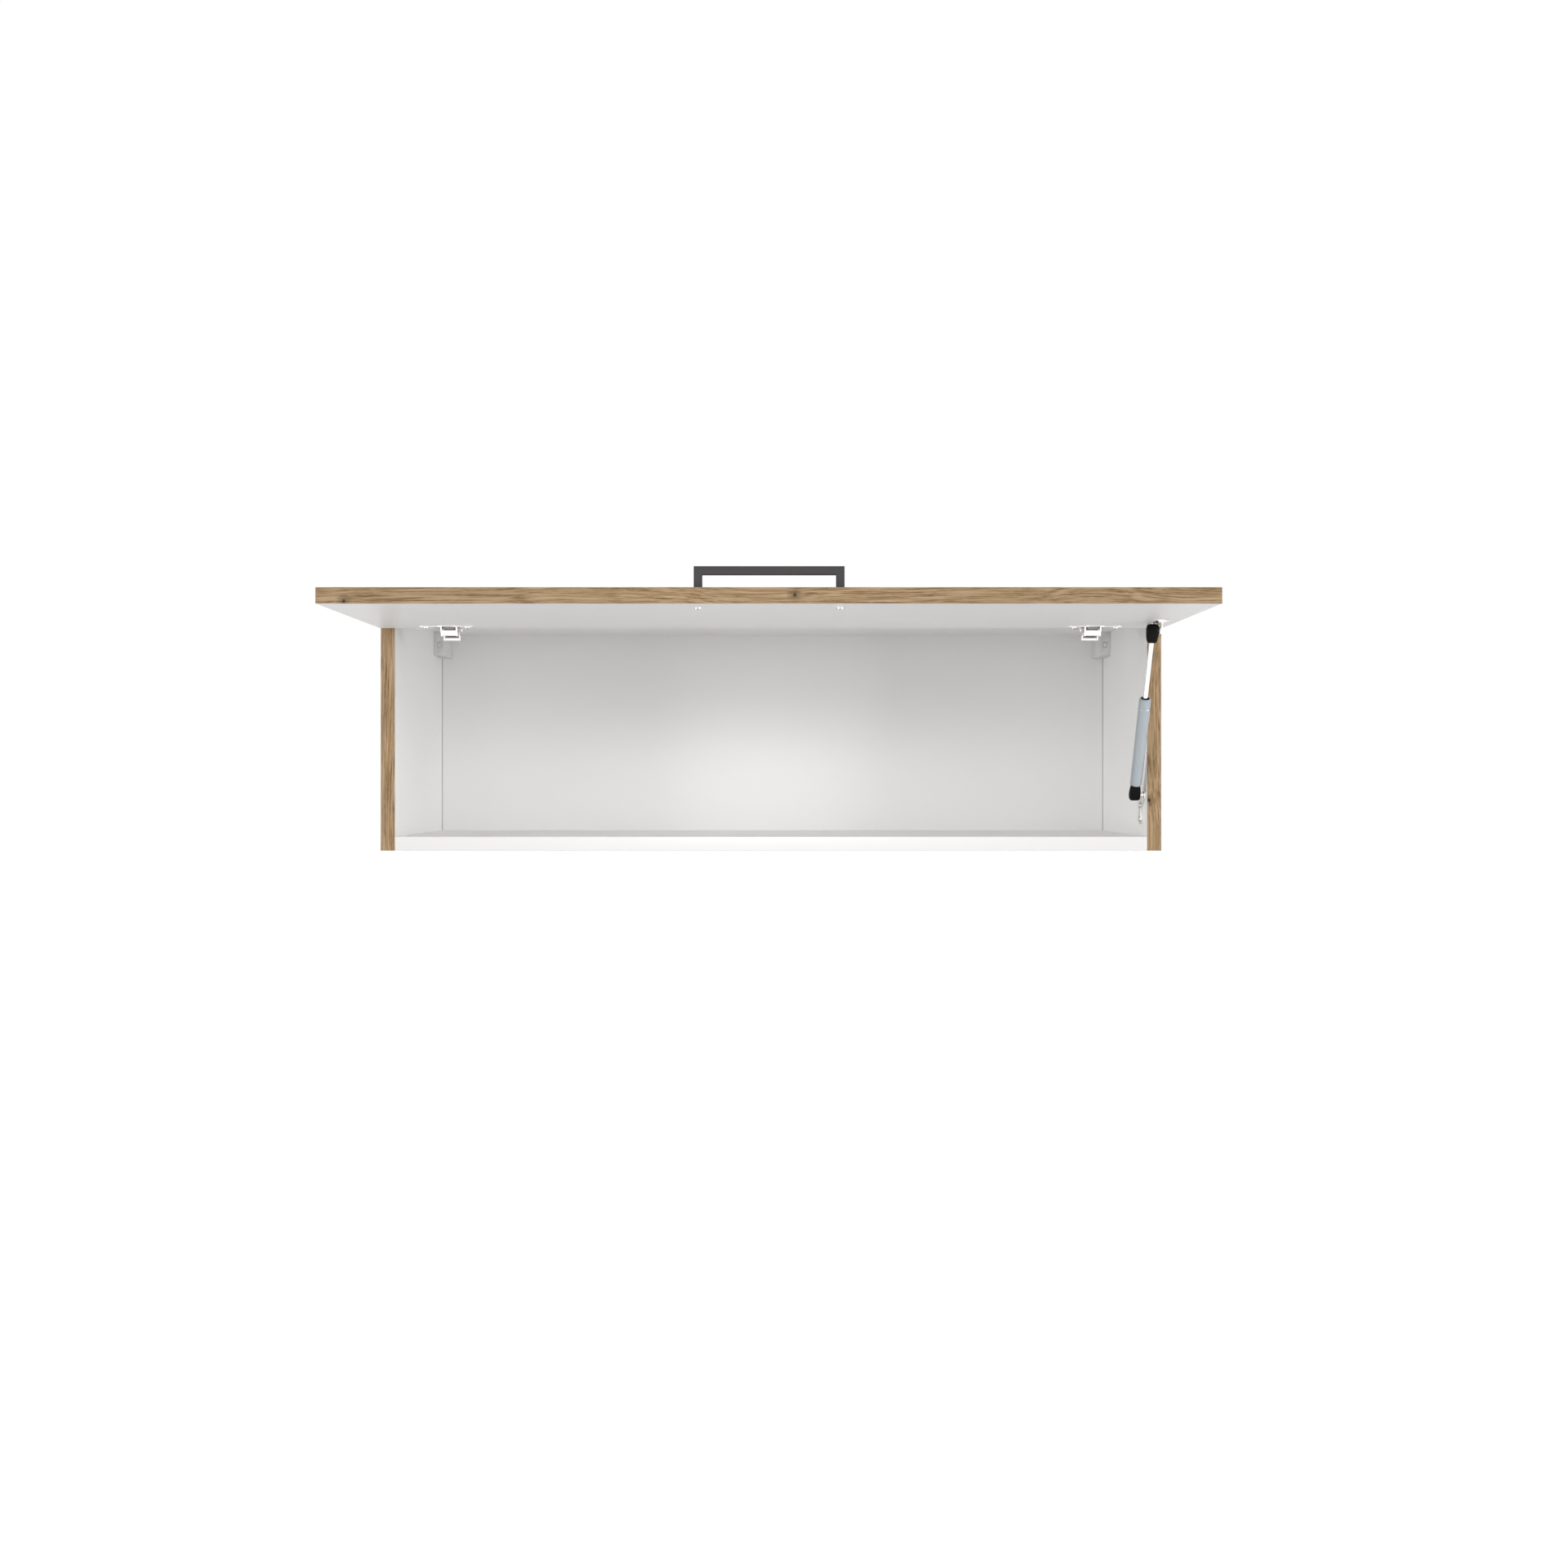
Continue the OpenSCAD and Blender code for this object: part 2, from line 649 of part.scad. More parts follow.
// The arm is a channel, open to the top panel, whose cheeks reach down in
// front as the nose that holds both arm pins. The nose's web is rolled round
// the front of the inner pin, a hair inside the cheeks' outline.
module hinge_arm(side) {
    channel_top = top_under - plate_t - running;
    nose_r = arm_eye_r;
    nose_front = outer_pin_in - nose_reach;
    nose_rear = arm_front_in + nose_lap;
    at_hinge(side) difference() {
        union() {
            cheeks(arm_cheek_in, arm_half) {
                strip([inner_arm_pin, outer_arm_pin], nose_r);
                polygon([inner_arm_pin + nose_chin - [nose_r, 0], inner_arm_pin + [nose_r*0.7, -nose_r*0.7],
                    outer_arm_pin + [nose_r, -nose_r*0.6], [nose_rear, arm_web_z],
                    [nose_rear, channel_top], [nose_front, channel_top], [nose_front, arm_web_z]]);
                translate([arm_front_in, arm_web_z])
                    square([arm_rear_in - arm_front_in, channel_top - arm_web_z]);
            }
            slab_x(-arm_cheek_in - web_lap, arm_cheek_in + web_lap) translate(inner_arm_pin) difference() {
                circle(nose_r - eye_step);
                circle(nose_r - arm_sheet);
                translate([nose_web_back, -nose_r]) square(2*nose_r);
            }
            board(-arm_half, arm_front_in, arm_web_z, [2*arm_half, arm_rear_in - arm_front_in, arm_sheet]);
        }
        for (depth = arm_screw_ins)
            bar_z(0, depth, arm_web_z - cut, arm_web_z + arm_sheet + cut, arm_screw_d + 2*fit);
        for (place = [outer_arm_pin, inner_arm_pin])
            bar_x(place, -arm_half - cut, arm_half + cut, arm_pin_d + 2*fit);
    }
}
module left_hinge_arm() { color("#d3d5d7") hinge_arm(-1); }
module right_hinge_arm() { color("#d3d5d7") hinge_arm(1); }

module hinge_arm_screws() {
    color("#aeb1b5") for (side = [-1, 1]) at_hinge(side) for (depth = arm_screw_ins)
        translate([0, behind(depth), arm_web_z])
            screw(arm_screw_d, arm_sheet + rail_play + arm_screw_grip, arm_head_d, arm_head_h);
}

module hinge_arm_pins() {
    color("#aeb1b5") for (side = [-1, 1]) at_hinge(side) {
        bar_x(outer_arm_pin, -arm_half, arm_half, arm_pin_d);
        bar_x(inner_arm_pin, -cheek_out, cheek_out, arm_pin_d);
    }
}

// The outer link dips under the flap's edge, between the arm's cheeks.
module outer_link(side) {
    path = [outer_cup_pin, [cup_in + cup_mouth_r - outer_bend_in_cup, face_z - outer_bend_drop],
        [edge_in - outer_dip_in, face_z - outer_dip_drop],
        [edge_in + outer_rise_in, face_z - outer_rise_drop], outer_arm_pin];
    at_hinge(side) slab_x(-outer_link_half, outer_link_half) difference() {
        union() {
            strip(path, link_r);
            translate(outer_cup_pin) circle(outer_eye_r);
            translate(outer_arm_pin) circle(arm_eye_r);
        }
        translate(outer_cup_pin) circle(d = cup_pin_d + 2*fit);
        translate(outer_arm_pin) circle(d = arm_pin_d + 2*fit);
    }
}
module left_outer_link() { color("#cfd1d3") outer_link(-1); }
module right_outer_link() { color("#cfd1d3") outer_link(1); }

// The inner link is a strap with two cheeks and a rounded web, which is the
// bright part that hangs below the open flap.
module inner_link(side) {
    knee = inner_cup_pin + inner_knee;
    path = [inner_cup_pin, knee, [edge_in + inner_bend_in, face_z - inner_bend_drop], inner_arm_pin];
    web = [inner_cup_pin + inner_web_top, knee, knee + inner_web_foot];
    at_hinge(side) {
        cheeks(cheek_in, cheek_out) difference() {
            union() {
                strip(path, link_r);
                translate(inner_cup_pin) circle(inner_eye_r);
                translate(inner_arm_pin) circle(arm_eye_r - eye_step);
            }
            translate(inner_cup_pin) circle(d = cup_pin_d + 2*fit);
            translate(inner_arm_pin) circle(d = arm_pin_d + 2*fit);
        }
        slab_x(-cheek_in - web_lap, cheek_in + web_lap) strip(web, web_r);
    }
}
module left_inner_link() { color("#d9dadb") inner_link(-1); }
module right_inner_link() { color("#d9dadb") inner_link(1); }

// Stub pins in the inner link's cheeks, one either side.
module inner_link_pins() {
    color("#aeb1b5") for (side = [-1, 1], end = [-1, 1]) at_hinge(side)
        bar_x(inner_cup_pin, end > 0 ? cheek_in : -cup_lug_in + running,
            end > 0 ? cup_lug_in - running : -cheek_in, cup_pin_d);
}

// The cup in the flap: a drum with a flange, two ears for the outer link's
// pin and two lugs beside the inner link's cheeks.
module hinge_cup(side) {
    floor_z = face_z + cup_depth;
    at_hinge(side) difference() {
        union() {
            difference() {
                bar_z(0, cup_in, face_z, floor_z, cup_d - 2*fit);
                bar_z(0, cup_in, face_z - cut, floor_z - cup_wall, 2*cup_mouth_r);
            }
            difference() {
                union() {
                    bar_z(0, cup_in, face_z - flange_t, face_z, 2*rim_r);
                    flange_plate();
                }
                bar_z(0, cup_in, face_z - flange_t - cut, face_z + cut, 2*cup_mouth_r);
                for (x = [-flange_pitch/2, flange_pitch/2])
                    bar_z(x, flange_in, face_z - flange_t - cut, face_z + cut, cup_screw_d + 2*fit);
            }
            cheeks(arm_cheek_in, arm_half - ear_play) {
                translate(outer_cup_pin) circle(outer_eye_r);
                translate([outer_cup_pin[0] - outer_eye_r, outer_cup_pin[1]])
                    square([2*outer_eye_r, floor_z - lug_lap - outer_cup_pin[1]]);
            }
            intersection() {
                cheeks(cup_lug_in, cup_r) translate(inner_cup_pin - [lug_half, lug_half])
                    square([2*lug_half, floor_z - lug_lap - inner_cup_pin[1] + lug_half]);
                bar_z(0, cup_in, face_z, floor_z, cup_d - 4*fit - ear_play);
            }
        }
        bar_x(outer_cup_pin, -arm_half - cut, arm_half + cut, cup_pin_d + 2*fit);
    }
}

// The flange is a strip across the cup with round ends.
module flange_plate() {
    end_x = flange_len/2 - flange_w/2;
    board(-end_x, flange_in - flange_w/2, face_z - flange_t, [2*end_x, flange_w, flange_t]);
    for (x = [-end_x, end_x]) bar_z(x, flange_in, face_z - flange_t, face_z, flange_w);
}
module left_hinge_cup() { color("#d9dadb") hinge_cup(-1); }
module right_hinge_cup() { color("#d9dadb") hinge_cup(1); }

module cup_pins() {
    color("#aeb1b5") for (side = [-1, 1]) at_hinge(side)
        bar_x(outer_cup_pin, -arm_half + ear_play, arm_half - ear_play, cup_pin_d);
}

module cup_screws() {
    color("#b9bcc0") for (side = [-1, 1]) at_hinge(side) for (x = [-flange_pitch/2, flange_pitch/2])
        translate([x, behind(flange_in), face_z - flange_t])
            screw(cup_screw_d, cup_screw_len, cup_head_d, cup_head_h);
}

// ---------------------------------------------------------------- flap

module flap_panel() {
    color("#eceae8") difference() {
        board(-flap_w/2 + edging_t, edge_in - flap_h + edging_t, face_z,
            [flap_w - 2*edging_t, flap_h - 2*edging_t, flap_t]);
        for (side = [-1, 1]) at_hinge(side) {
            bar_z(0, cup_in, face_z - cut, face_z + cup_depth + fit, cup_d);
            for (x = [-flange_pitch/2, flange_pitch/2])
                bar_z(x, flange_in, face_z - cut, face_z + cup_screw_len - flange_t + fit,
                    cup_screw_d + 2*fit);
        }
        for (x = [-handle_pitch/2, handle_pitch/2])
            bar_z(x, handle_in, face_z - cut, flap_top_z + cut, handle_screw_d + handle_hole_play);
        for (place = flap_bracket_holes())
            bar_z(place[0], place[1], face_z - cut, face_z + wood_screw_len - bracket_t + fit,
                wood_screw_d + 2*fit);
    }
}

// The long strips run the whole width, and the short ones lie between them.
module flap_long_edgings() {
    color("#8f7656") for (depth = [edge_in - flap_h, edge_in - edging_t])
        board(-flap_w/2, depth, face_z, [flap_w, edging_t, flap_t]);
}
module flap_short_edgings() {
    color("#8f7656") for (x = [-flap_w/2, flap_w/2 - edging_t])
        board(x, edge_in - flap_h + edging_t, face_z, [edging_t, flap_h - 2*edging_t, flap_t]);
}

module handle() {
    color("#4b4c4f") difference() {
        board(-handle_len/2, handle_in - handle_bar/2, flap_top_z, [handle_len, handle_bar, handle_rise]);
        board(-handle_len/2 + handle_bar, handle_in - handle_bar, flap_top_z - cut,
            [handle_len - 2*handle_bar, 2*handle_bar, handle_rise - handle_bar + cut]);
        for (x = [-handle_pitch/2, handle_pitch/2])
            bar_z(x, handle_in, flap_top_z - cut, flap_top_z + handle_screw_grip + handle_tap_spare,
                handle_screw_d + 2*fit);
    }
}

module handle_screws() {
    color("#b9bcc0") for (x = [-handle_pitch/2, handle_pitch/2])
        translate([x, behind(handle_in), face_z])
            screw(handle_screw_d, flap_t + handle_screw_grip, handle_head_d, handle_head_h);
}

// ---------------------------------------------------------------- gas strut

// The screws of the flap's angle: two in a row along the flap's depth.
function flap_bracket_holes() = [
    for (reach = [flap_screw_end - flap_foot_front, flap_foot_rear - flap_screw_end])
        [ear_in_x - flap_foot_w/2 + flap_screw_side, upper_ball[0] + reach]];

// An angle under the flap: a foot with two screws and an ear with the ball.
module flap_bracket() {
    color("#cfcac2") difference() {
        union() {
            board(ear_out - flap_foot_w, upper_ball[0] - flap_foot_front, face_z - bracket_t,
                [flap_foot_w, flap_foot_front + flap_foot_rear, bracket_t]);
            slab_x(ear_in_x, ear_out) {
                translate(upper_ball) circle(ear_r);
                translate([upper_ball[0] - ear_r, upper_ball[1]]) square([2*ear_r, upper_ball_drop]);
            }
        }
        for (place = flap_bracket_holes())
            bar_z(place[0], place[1], face_z - bracket_t - cut, face_z + cut, wood_screw_d + 2*fit);
        bar_x(upper_ball, ear_in_x - cut, ear_out + cut, 2*rivet_r + 2*fit);
    }
}

module flap_bracket_screws() {
    color("#b9bcc0") for (place = flap_bracket_holes())
        translate([place[0], behind(place[1]), face_z - bracket_t])
            screw(wood_screw_d, wood_screw_len, wood_head_d, wood_head_h);
}

// A turned ball stud that points along -X from its seat: a ball with a flat
// tip, a neck, a collar and, where it is riveted, a shank through the sheet.
module ball_stud(seat_x, place, shank) {
    reach = seat_x - strut_x;
    translate([strut_x, behind(place[0]), place[1]]) rotate([0, 90, 0]) rotate_extrude() {
        intersection() {
            circle(ball_r);
            translate([0, -ball_tip]) square(ball_d);
        }
        square([neck_r, reach]);
        translate([0, reach - collar_t]) square([collar_r, collar_t]);
        if (shank > 0) translate([0, reach - collar_t]) square([rivet_r, collar_t + shank]);
    }
}
module upper_ball_stud() { color("#d0d2d4") ball_stud(ear_in_x, upper_ball, bracket_t + rivet_out); }
module lower_ball_stud() { color("#d0d2d4") ball_stud(side_plate_x - running, lower_ball, 0); }

// Everything on the strut's axis is drawn along +Z from the lower ball.
module along_strut() {
    translate([strut_x, behind(lower_ball[0]), lower_ball[1]]) rotate([strut_tilt - 90, 0, 0]) children();
}

// A moulded ball socket: a drum with bevelled rims and a tapered neck, hollow
// for the ball and open on the side that the ball's stud comes from.
module socket(length, thick, grip) {
    taper = 2;
    bevel = 1.8;
    neck_w = min(socket_w*0.9, thick);
    mouth_w = socket_w*0.72;
    difference() {
        union() {
            rotate([0, 90, 0]) rotate_extrude() polygon([
                [0, -thick/2], [socket_w/2 - bevel, -thick/2], [socket_w/2, bevel - thick/2],
                [socket_w/2, thick/2 - bevel], [socket_w/2 - bevel, thick/2], [0, thick/2]]);
            cylinder(h = length - taper, d = neck_w);
            translate([0, 0, length - taper]) cylinder(h = taper, d1 = neck_w, d2 = mouth_w);
        }
        rotate([0, 90, 0]) rotate_extrude() {
            intersection() {
                circle(ball_r + ball_play);
                translate([0, -ball_tip - ball_play]) square(2*ball_d);
            }
            square([socket_mouth_r, thick]);
        }
        translate([0, 0, length - grip - fit]) cylinder(h = grip + fit + cut, r = rod_r + fit);
    }
}

module upper_socket() {
    color("#17181a") along_strut() translate([0, 0, strut_len]) rotate([180, 0, 0])
        socket(upper_socket_len, upper_socket_t, rod_grip);
}
module lower_socket() {
    color("#17181a") along_strut() socket(lower_socket_len, lower_socket_t, tube_stud_len);
}

module strut_rod() {
    rod_low = piston_at + piston_len - piston_grip;
    color("#dfe1e3") along_strut() translate([0, 0, rod_low]) cylinder(h = rod_top - rod_low, r = rod_r);
}

// The piston on the rod's foot, with a groove for its seal.
module strut_piston() {
    piston_r = bore_r - running;
    color("#8d9095") along_strut() translate([0, 0, piston_at]) difference() {
        cylinder(h = piston_len, r = piston_r);
        translate([0, 0, piston_len - piston_grip]) cylinder(h = piston_grip + cut, r = rod_r + fit);
        translate([0, 0, (piston_len - piston_grip - seal_w)/2]) difference() {
            cylinder(h = seal_w, r = tube_r);
            cylinder(h = seal_w, r = piston_r - seal_deep);
        }
    }
}

// The tube has a stud on its closed foot that screws into the lower socket,
// and is rolled in over the guide at its mouth.
module strut_tube() {
    foot_edge = 1;
    mouth_edge = 1.4;
    color("#a9b4be") along_strut() rotate_extrude() polygon([
        [0, tube_start - tube_stud_len], [rod_r, tube_start - tube_stud_len], [rod_r, tube_start],
        [tube_r - foot_edge, tube_start], [tube_r, tube_start + foot_edge],
        [tube_r, roll_at - roll_half], [tube_r - roll_deep, roll_at], [tube_r, roll_at + roll_half],
        [tube_r, tube_end - mouth_edge], [tube_r - mouth_edge, tube_end], [tube_lip_r, tube_end],
        [tube_lip_r, tube_end - tube_lip], [bore_r, tube_end - tube_lip],
        [bore_r, tube_start + tube_foot], [0, tube_start + tube_foot]]);
}

// Guide and seal: the plug in the tube's mouth that the rod slides through.
module strut_guide() {
    color("#26282b") along_strut() translate([0, 0, guide_at]) difference() {
        cylinder(h = tube_end - tube_lip - fit - guide_at, r = bore_r - fit);
        translate([0, 0, -cut]) cylinder(h = tube_len, r = rod_r + fit);
    }
}

// The plate on the right side: one lobe behind the ball, two with screws.
module side_bracket() {
    color("#dddcda") slab_x(side_plate_x, inner_half) difference() {
        union() {
            strip([lower_ball, side_screws[0]], side_lobe_r);
            strip(side_screws, side_lobe_r);
        }
        for (place = side_screws) translate(place) circle(d = wood_screw_d + 2*fit);
    }
}

module side_bracket_screws() {
    color("#b9bcc0") for (place = side_screws)
        translate([side_plate_x, behind(place[0]), place[1]]) rotate([0, 90, 0])
            screw(wood_screw_d, wood_screw_len, wood_head_d, wood_head_h);
}

left_side();
right_side();
top_panel();
bottom_panel();
back_panel();
left_side_edging();
right_side_edging();
top_edging();
bottom_edging();
carcass_dowels();
cam_locks();
cam_bolts();
left_hanger();
right_hanger();
hanger_hooks();
hanger_screws();
left_hinge_plate();
right_hinge_plate();
left_hinge_arm();
right_hinge_arm();
hinge_plate_screws();
hinge_arm_screws();
hinge_arm_pins();
left_outer_link();
right_outer_link();
left_inner_link();
right_inner_link();
inner_link_pins();
left_hinge_cup();
right_hinge_cup();
cup_pins();
cup_screws();
flap_panel();
flap_long_edgings();
flap_short_edgings();
handle();
handle_screws();
flap_bracket();
flap_bracket_screws();
upper_ball_stud();
upper_socket();
strut_rod();
strut_piston();
strut_tube();
strut_guide();
lower_socket();
lower_ball_stud();
side_bracket();
side_bracket_screws();
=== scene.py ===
import json
import math

import bmesh
import bpy
from mathutils import Matrix, Vector

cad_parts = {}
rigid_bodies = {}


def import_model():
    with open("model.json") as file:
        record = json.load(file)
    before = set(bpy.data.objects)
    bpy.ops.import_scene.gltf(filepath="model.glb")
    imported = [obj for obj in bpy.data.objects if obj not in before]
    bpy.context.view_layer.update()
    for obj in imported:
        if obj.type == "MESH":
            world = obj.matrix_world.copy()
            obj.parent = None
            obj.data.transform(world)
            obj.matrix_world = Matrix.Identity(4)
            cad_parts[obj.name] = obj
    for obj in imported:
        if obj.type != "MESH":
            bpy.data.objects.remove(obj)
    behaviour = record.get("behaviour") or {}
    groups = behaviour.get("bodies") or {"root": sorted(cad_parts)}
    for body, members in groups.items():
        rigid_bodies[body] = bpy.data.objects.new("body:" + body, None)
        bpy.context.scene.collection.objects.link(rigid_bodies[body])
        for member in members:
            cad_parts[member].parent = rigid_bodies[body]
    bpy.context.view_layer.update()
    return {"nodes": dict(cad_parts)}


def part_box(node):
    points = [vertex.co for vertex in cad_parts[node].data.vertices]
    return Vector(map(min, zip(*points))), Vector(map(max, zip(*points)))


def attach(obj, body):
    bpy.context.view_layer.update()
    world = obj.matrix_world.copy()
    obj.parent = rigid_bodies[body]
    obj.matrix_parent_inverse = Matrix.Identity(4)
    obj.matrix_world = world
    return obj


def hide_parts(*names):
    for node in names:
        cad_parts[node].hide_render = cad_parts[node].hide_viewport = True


for leftover in list(bpy.data.objects):
    bpy.data.objects.remove(leftover)
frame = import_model()

# The view. The camera stands 2.3 m in front of the carcass, a little right of its middle and about
# a quarter of the way up it. It looks straight at the wall, so that only the lines that run to the
# wall converge.
CARCASS_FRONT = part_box("bottom_edging")[0].y
CAMERA_RIGHT, CAMERA_AWAY, CAMERA_UP = 0.0167, 2.307, 0.0854
camera = bpy.data.objects.new("camera", bpy.data.cameras.new("camera"))
bpy.context.scene.collection.objects.link(camera)
camera.location = (CAMERA_RIGHT, CARCASS_FRONT - CAMERA_AWAY, CAMERA_UP)
camera.rotation_euler = (math.radians(90), 0, 0)
camera.data.sensor_width = 36
camera.data.lens = 41.35                     # 47 degrees across
bpy.context.scene.camera = camera
bpy.context.scene.view_settings.view_transform = "Standard"


# Carcass boards: chipboard faced with melamine paper, white inside. The outer faces and the ends
# of the two sides carry the same oak print as the edging. Where a saw or a drill went through the
# facing, the chips show: at the rear edges and in the dowel, bolt and cam holes.
X, Y, Z = range(3)                           # to the right, to the wall, up
NOISE_SPAN = {"From Min": 0.3, "From Max": 0.7}      # holds nearly all of a noise's values
FACING_T = 0.0002
SWAY = 0.03                                  # how far the oak's lines wander sideways
KNOT_FRAY = 0.003                            # how far the fibres pull a knot's outline about
KNOT_RINGS = ((0.0115, 0.4), (0.0056, 1))    # a knot's halo and heart: radius, darkness
KNOT_EVEN = 0.4                              # the share of that radius with no fade


def linear(hex_colour):
    """An sRGB hex colour as linear numbers."""
    shares = [int(hex_colour[i:i + 2], 16)/255 for i in (1, 3, 5)]
    return tuple(s/12.92 if s <= 0.04045 else ((s + 0.055)/1.055)**2.4 for s in shares) + (1,)


def add(tree, kind, settings=(), inputs=(), stops=(), give=None):
    """Adds a node with its settings, its inputs by name or number, and the stops of its ramp.

    An input is a value or another node's output. What comes back is the output named give, or
    else the first one in use.
    """
    node = tree.nodes.new(kind)
    for name, value in dict(settings).items():
        setattr(node, name, value)
    for key, value in dict(inputs).items():
        socket = node.inputs[key] if isinstance(key, int) else next(
            s for s in node.inputs if s.enabled and s.name == key)
        if isinstance(value, bpy.types.NodeSocket):
            tree.links.new(value, socket)
        else:
            socket.default_value = value
    if stops:
        ramp = node.color_ramp.elements
        ramp[0].position, ramp[1].position = stops[0][0], stops[-1][0]
        for place, _ in stops[1:-1]:
            ramp.new(place)
        for stop, (_, colour) in zip(ramp, stops):
            stop.color = linear(colour)
    return node.outputs[give] if give else next((s for s in node.outputs if s.enabled), None)


def finish(name, look, bump_mm=0, shader=()):
    """A material: look gives its colour, roughness and height, and shader its plain numbers."""
    material = bpy.data.materials.new(name)
    material.use_nodes = True
    tree = material.node_tree
    tree.nodes.clear()
    colour, roughness, height = look(tree)
    inputs = {"Base Color": colour, "Roughness": roughness, **dict(shader)}
    if bump_mm:
        inputs["Normal"] = add(tree, "ShaderNodeBump", inputs={
            "Height": height, "Distance": bump_mm/1000})
    surface = add(tree, "ShaderNodeBsdfPrincipled", inputs=inputs)
    add(tree, "ShaderNodeOutputMaterial", inputs={"Surface": surface})
    return material


def melamine(tree):
    """White melamine paper, pressed with a pearl grain of 1.4 mm, so that it shines softly."""
    place = add(tree, "ShaderNodeTexCoord", give="Object")
    pearl = add(tree, "ShaderNodeTexNoise", inputs={
        "Vector": place, "Scale": 1000/1.4, "Detail": 3})
    cloud = add(tree, "ShaderNodeTexNoise", inputs={
        "Vector": place, "Scale": 1000/180, "Detail": 1})
    colour = add(tree, "ShaderNodeValToRGB", inputs={"Fac": cloud}, stops=[
        (0.3, "#f4f3f2"), (0.7, "#f1f0ef")])
    roughness = add(tree, "ShaderNodeMapRange", inputs={
        "Value": pearl, **NOISE_SPAN, "To Min": 0.36, "To Max": 0.46})
    return colour, roughness, pearl


def oak(along, knots=()):
    """An oak print, satin: dark annual lines that slant and sway, short fibres between, and knots.

    The real lines are 1 to 3 mm apart and a few centimetres long; those of the print are drawn 1.5
    mm wide, because finer ones wouldn't show. They run along the axis that along names.
    """
    def look(tree):
        place = bent = add(tree, "ShaderNodeTexCoord", give="Object")
        layers = {}
        for layer, length_mm, width_mm, detail in (
                ("sway", 260, 150, 1), ("lines", 90, 1.5, 2),
                ("fibres", 10, 0.9, 1), ("tone", 330, 4.5, 1)):
            squeeze = [1000/(length_mm if axis == along else width_mm) for axis in (X, Y, Z)]
            spot = add(tree, "ShaderNodeMapping", inputs={"Vector": bent, "Scale": squeeze})
            layers[layer] = add(tree, "ShaderNodeTexNoise", inputs={
                "Vector": spot, "Scale": 1, "Detail": detail})
            if layer == "sway":
                reach = [0 if axis == along else SWAY for axis in (X, Y, Z)]
                bent = add(tree, "ShaderNodeVectorMath", {"operation": "MULTIPLY_ADD"}, {
                    0: layers["sway"], 1: reach, 2: place})
        colour = add(tree, "ShaderNodeValToRGB", inputs={"Fac": layers["lines"]}, stops=[
            (0.3, "#674c2d"), (0.44, "#917452"), (0.55, "#ac906e"), (0.7, "#bea486")])
        dark = 0
        for knot in knots:
            away = add(tree, "ShaderNodeVectorMath", {"operation": "DISTANCE"}, {0: place, 1: knot})
            away = add(tree, "ShaderNodeMath", {"operation": "MULTIPLY_ADD"}, {
                0: layers["fibres"], 1: KNOT_FRAY, 2: away})
            for radius, depth in KNOT_RINGS:
                spot = add(tree, "ShaderNodeMapRange", inputs={
                    "Value": away, "From Min": radius*KNOT_EVEN, "From Max": radius,
                    "To Min": depth, "To Max": 0})
                dark = add(tree, "ShaderNodeMath", {"operation": "MAXIMUM"}, {0: dark, 1: spot})
        for shade, low, high, most, tint in (
                (layers["tone"], 0.42, 0.68, 0.45, "#8b744c"),
                (layers["fibres"], 0.45, 0.7, 0.4, "#bfa484"),
                (dark, 0, 1, 1, "#1f1004")):
            share = add(tree, "ShaderNodeMapRange", inputs={
                "Value": shade, "From Min": low, "From Max": high, "To Max": most})
            colour = add(tree, "ShaderNodeMix", {"data_type": "RGBA"}, {
                "Factor": share, "A": colour, "B": linear(tint)})
        roughness = add(tree, "ShaderNodeMapRange", inputs={
            "Value": layers["lines"], **NOISE_SPAN, "To Min": 0.5, "To Max": 0.64})
        return colour, roughness, layers["lines"]
    return look


def chipboard(tree):
    """The core: pressed chips 1 to 3 mm long, lighter and darker, with small voids between them."""
    place = add(tree, "ShaderNodeTexCoord", give="Object")
    flat = add(tree, "ShaderNodeMapping", inputs={"Vector": place, "Scale": (450, 450, 1000)})
    depth = add(tree, "ShaderNodeTexVoronoi", inputs={"Vector": flat, "Scale": 1}, give="Distance")
    chip = add(tree, "ShaderNodeSeparateColor", inputs={"Color": depth.node.outputs["Color"]})
    colour = add(tree, "ShaderNodeValToRGB", inputs={"Fac": chip}, stops=[
        (0, "#8d6f48"), (0.5, "#b4976a"), (1, "#d3b98b")])
    return colour, 0.85, depth


def faced(core, *faces):
    """A board: its core all over, and facings, each given as the axis, place and look of a face."""
    def look(tree):
        place = add(tree, "ShaderNodeTexCoord", give="Object")
        split = add(tree, "ShaderNodeSeparateXYZ", inputs={"Vector": place}).node
        layers = core(tree)
        for axis, plane, facing in faces:
            on_face = add(tree, "ShaderNodeMath", {"operation": "COMPARE"}, {
                0: split.outputs[axis], 1: plane, 2: FACING_T})
            layers = [
                add(tree, "ShaderNodeMix", {"data_type": kind}, {
                    "Factor": on_face, "A": under, "B": over})
                for kind, under, over in zip(("RGBA", "FLOAT", "FLOAT"), layers, facing(tree))]
        return layers
    return look


def dress(material, *names):
    """Gives a material to nodes that stay as they are."""
    for name in names:
        slots = frame["nodes"][name].data.materials
        slots.clear()
        slots.append(material)


for name in ("left_side", "right_side"):
    low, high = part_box(name)
    outside, inside = (low.x, high.x) if name == "left_side" else (high.x, low.x)
    dress(finish(name + "_chipboard_in_oak_print_and_white_melamine", faced(
        chipboard, (X, inside, melamine), (X, outside, oak(Z)),
        (Z, low.z, oak(Y)), (Z, high.z, oak(Y))), bump_mm=0.03), name)
for name in ("top_panel", "bottom_panel"):
    low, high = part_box(name)
    dress(finish(name + "_chipboard_in_white_melamine", faced(
        chipboard, (Z, low.z, melamine), (Z, high.z, melamine)), bump_mm=0.03), name)


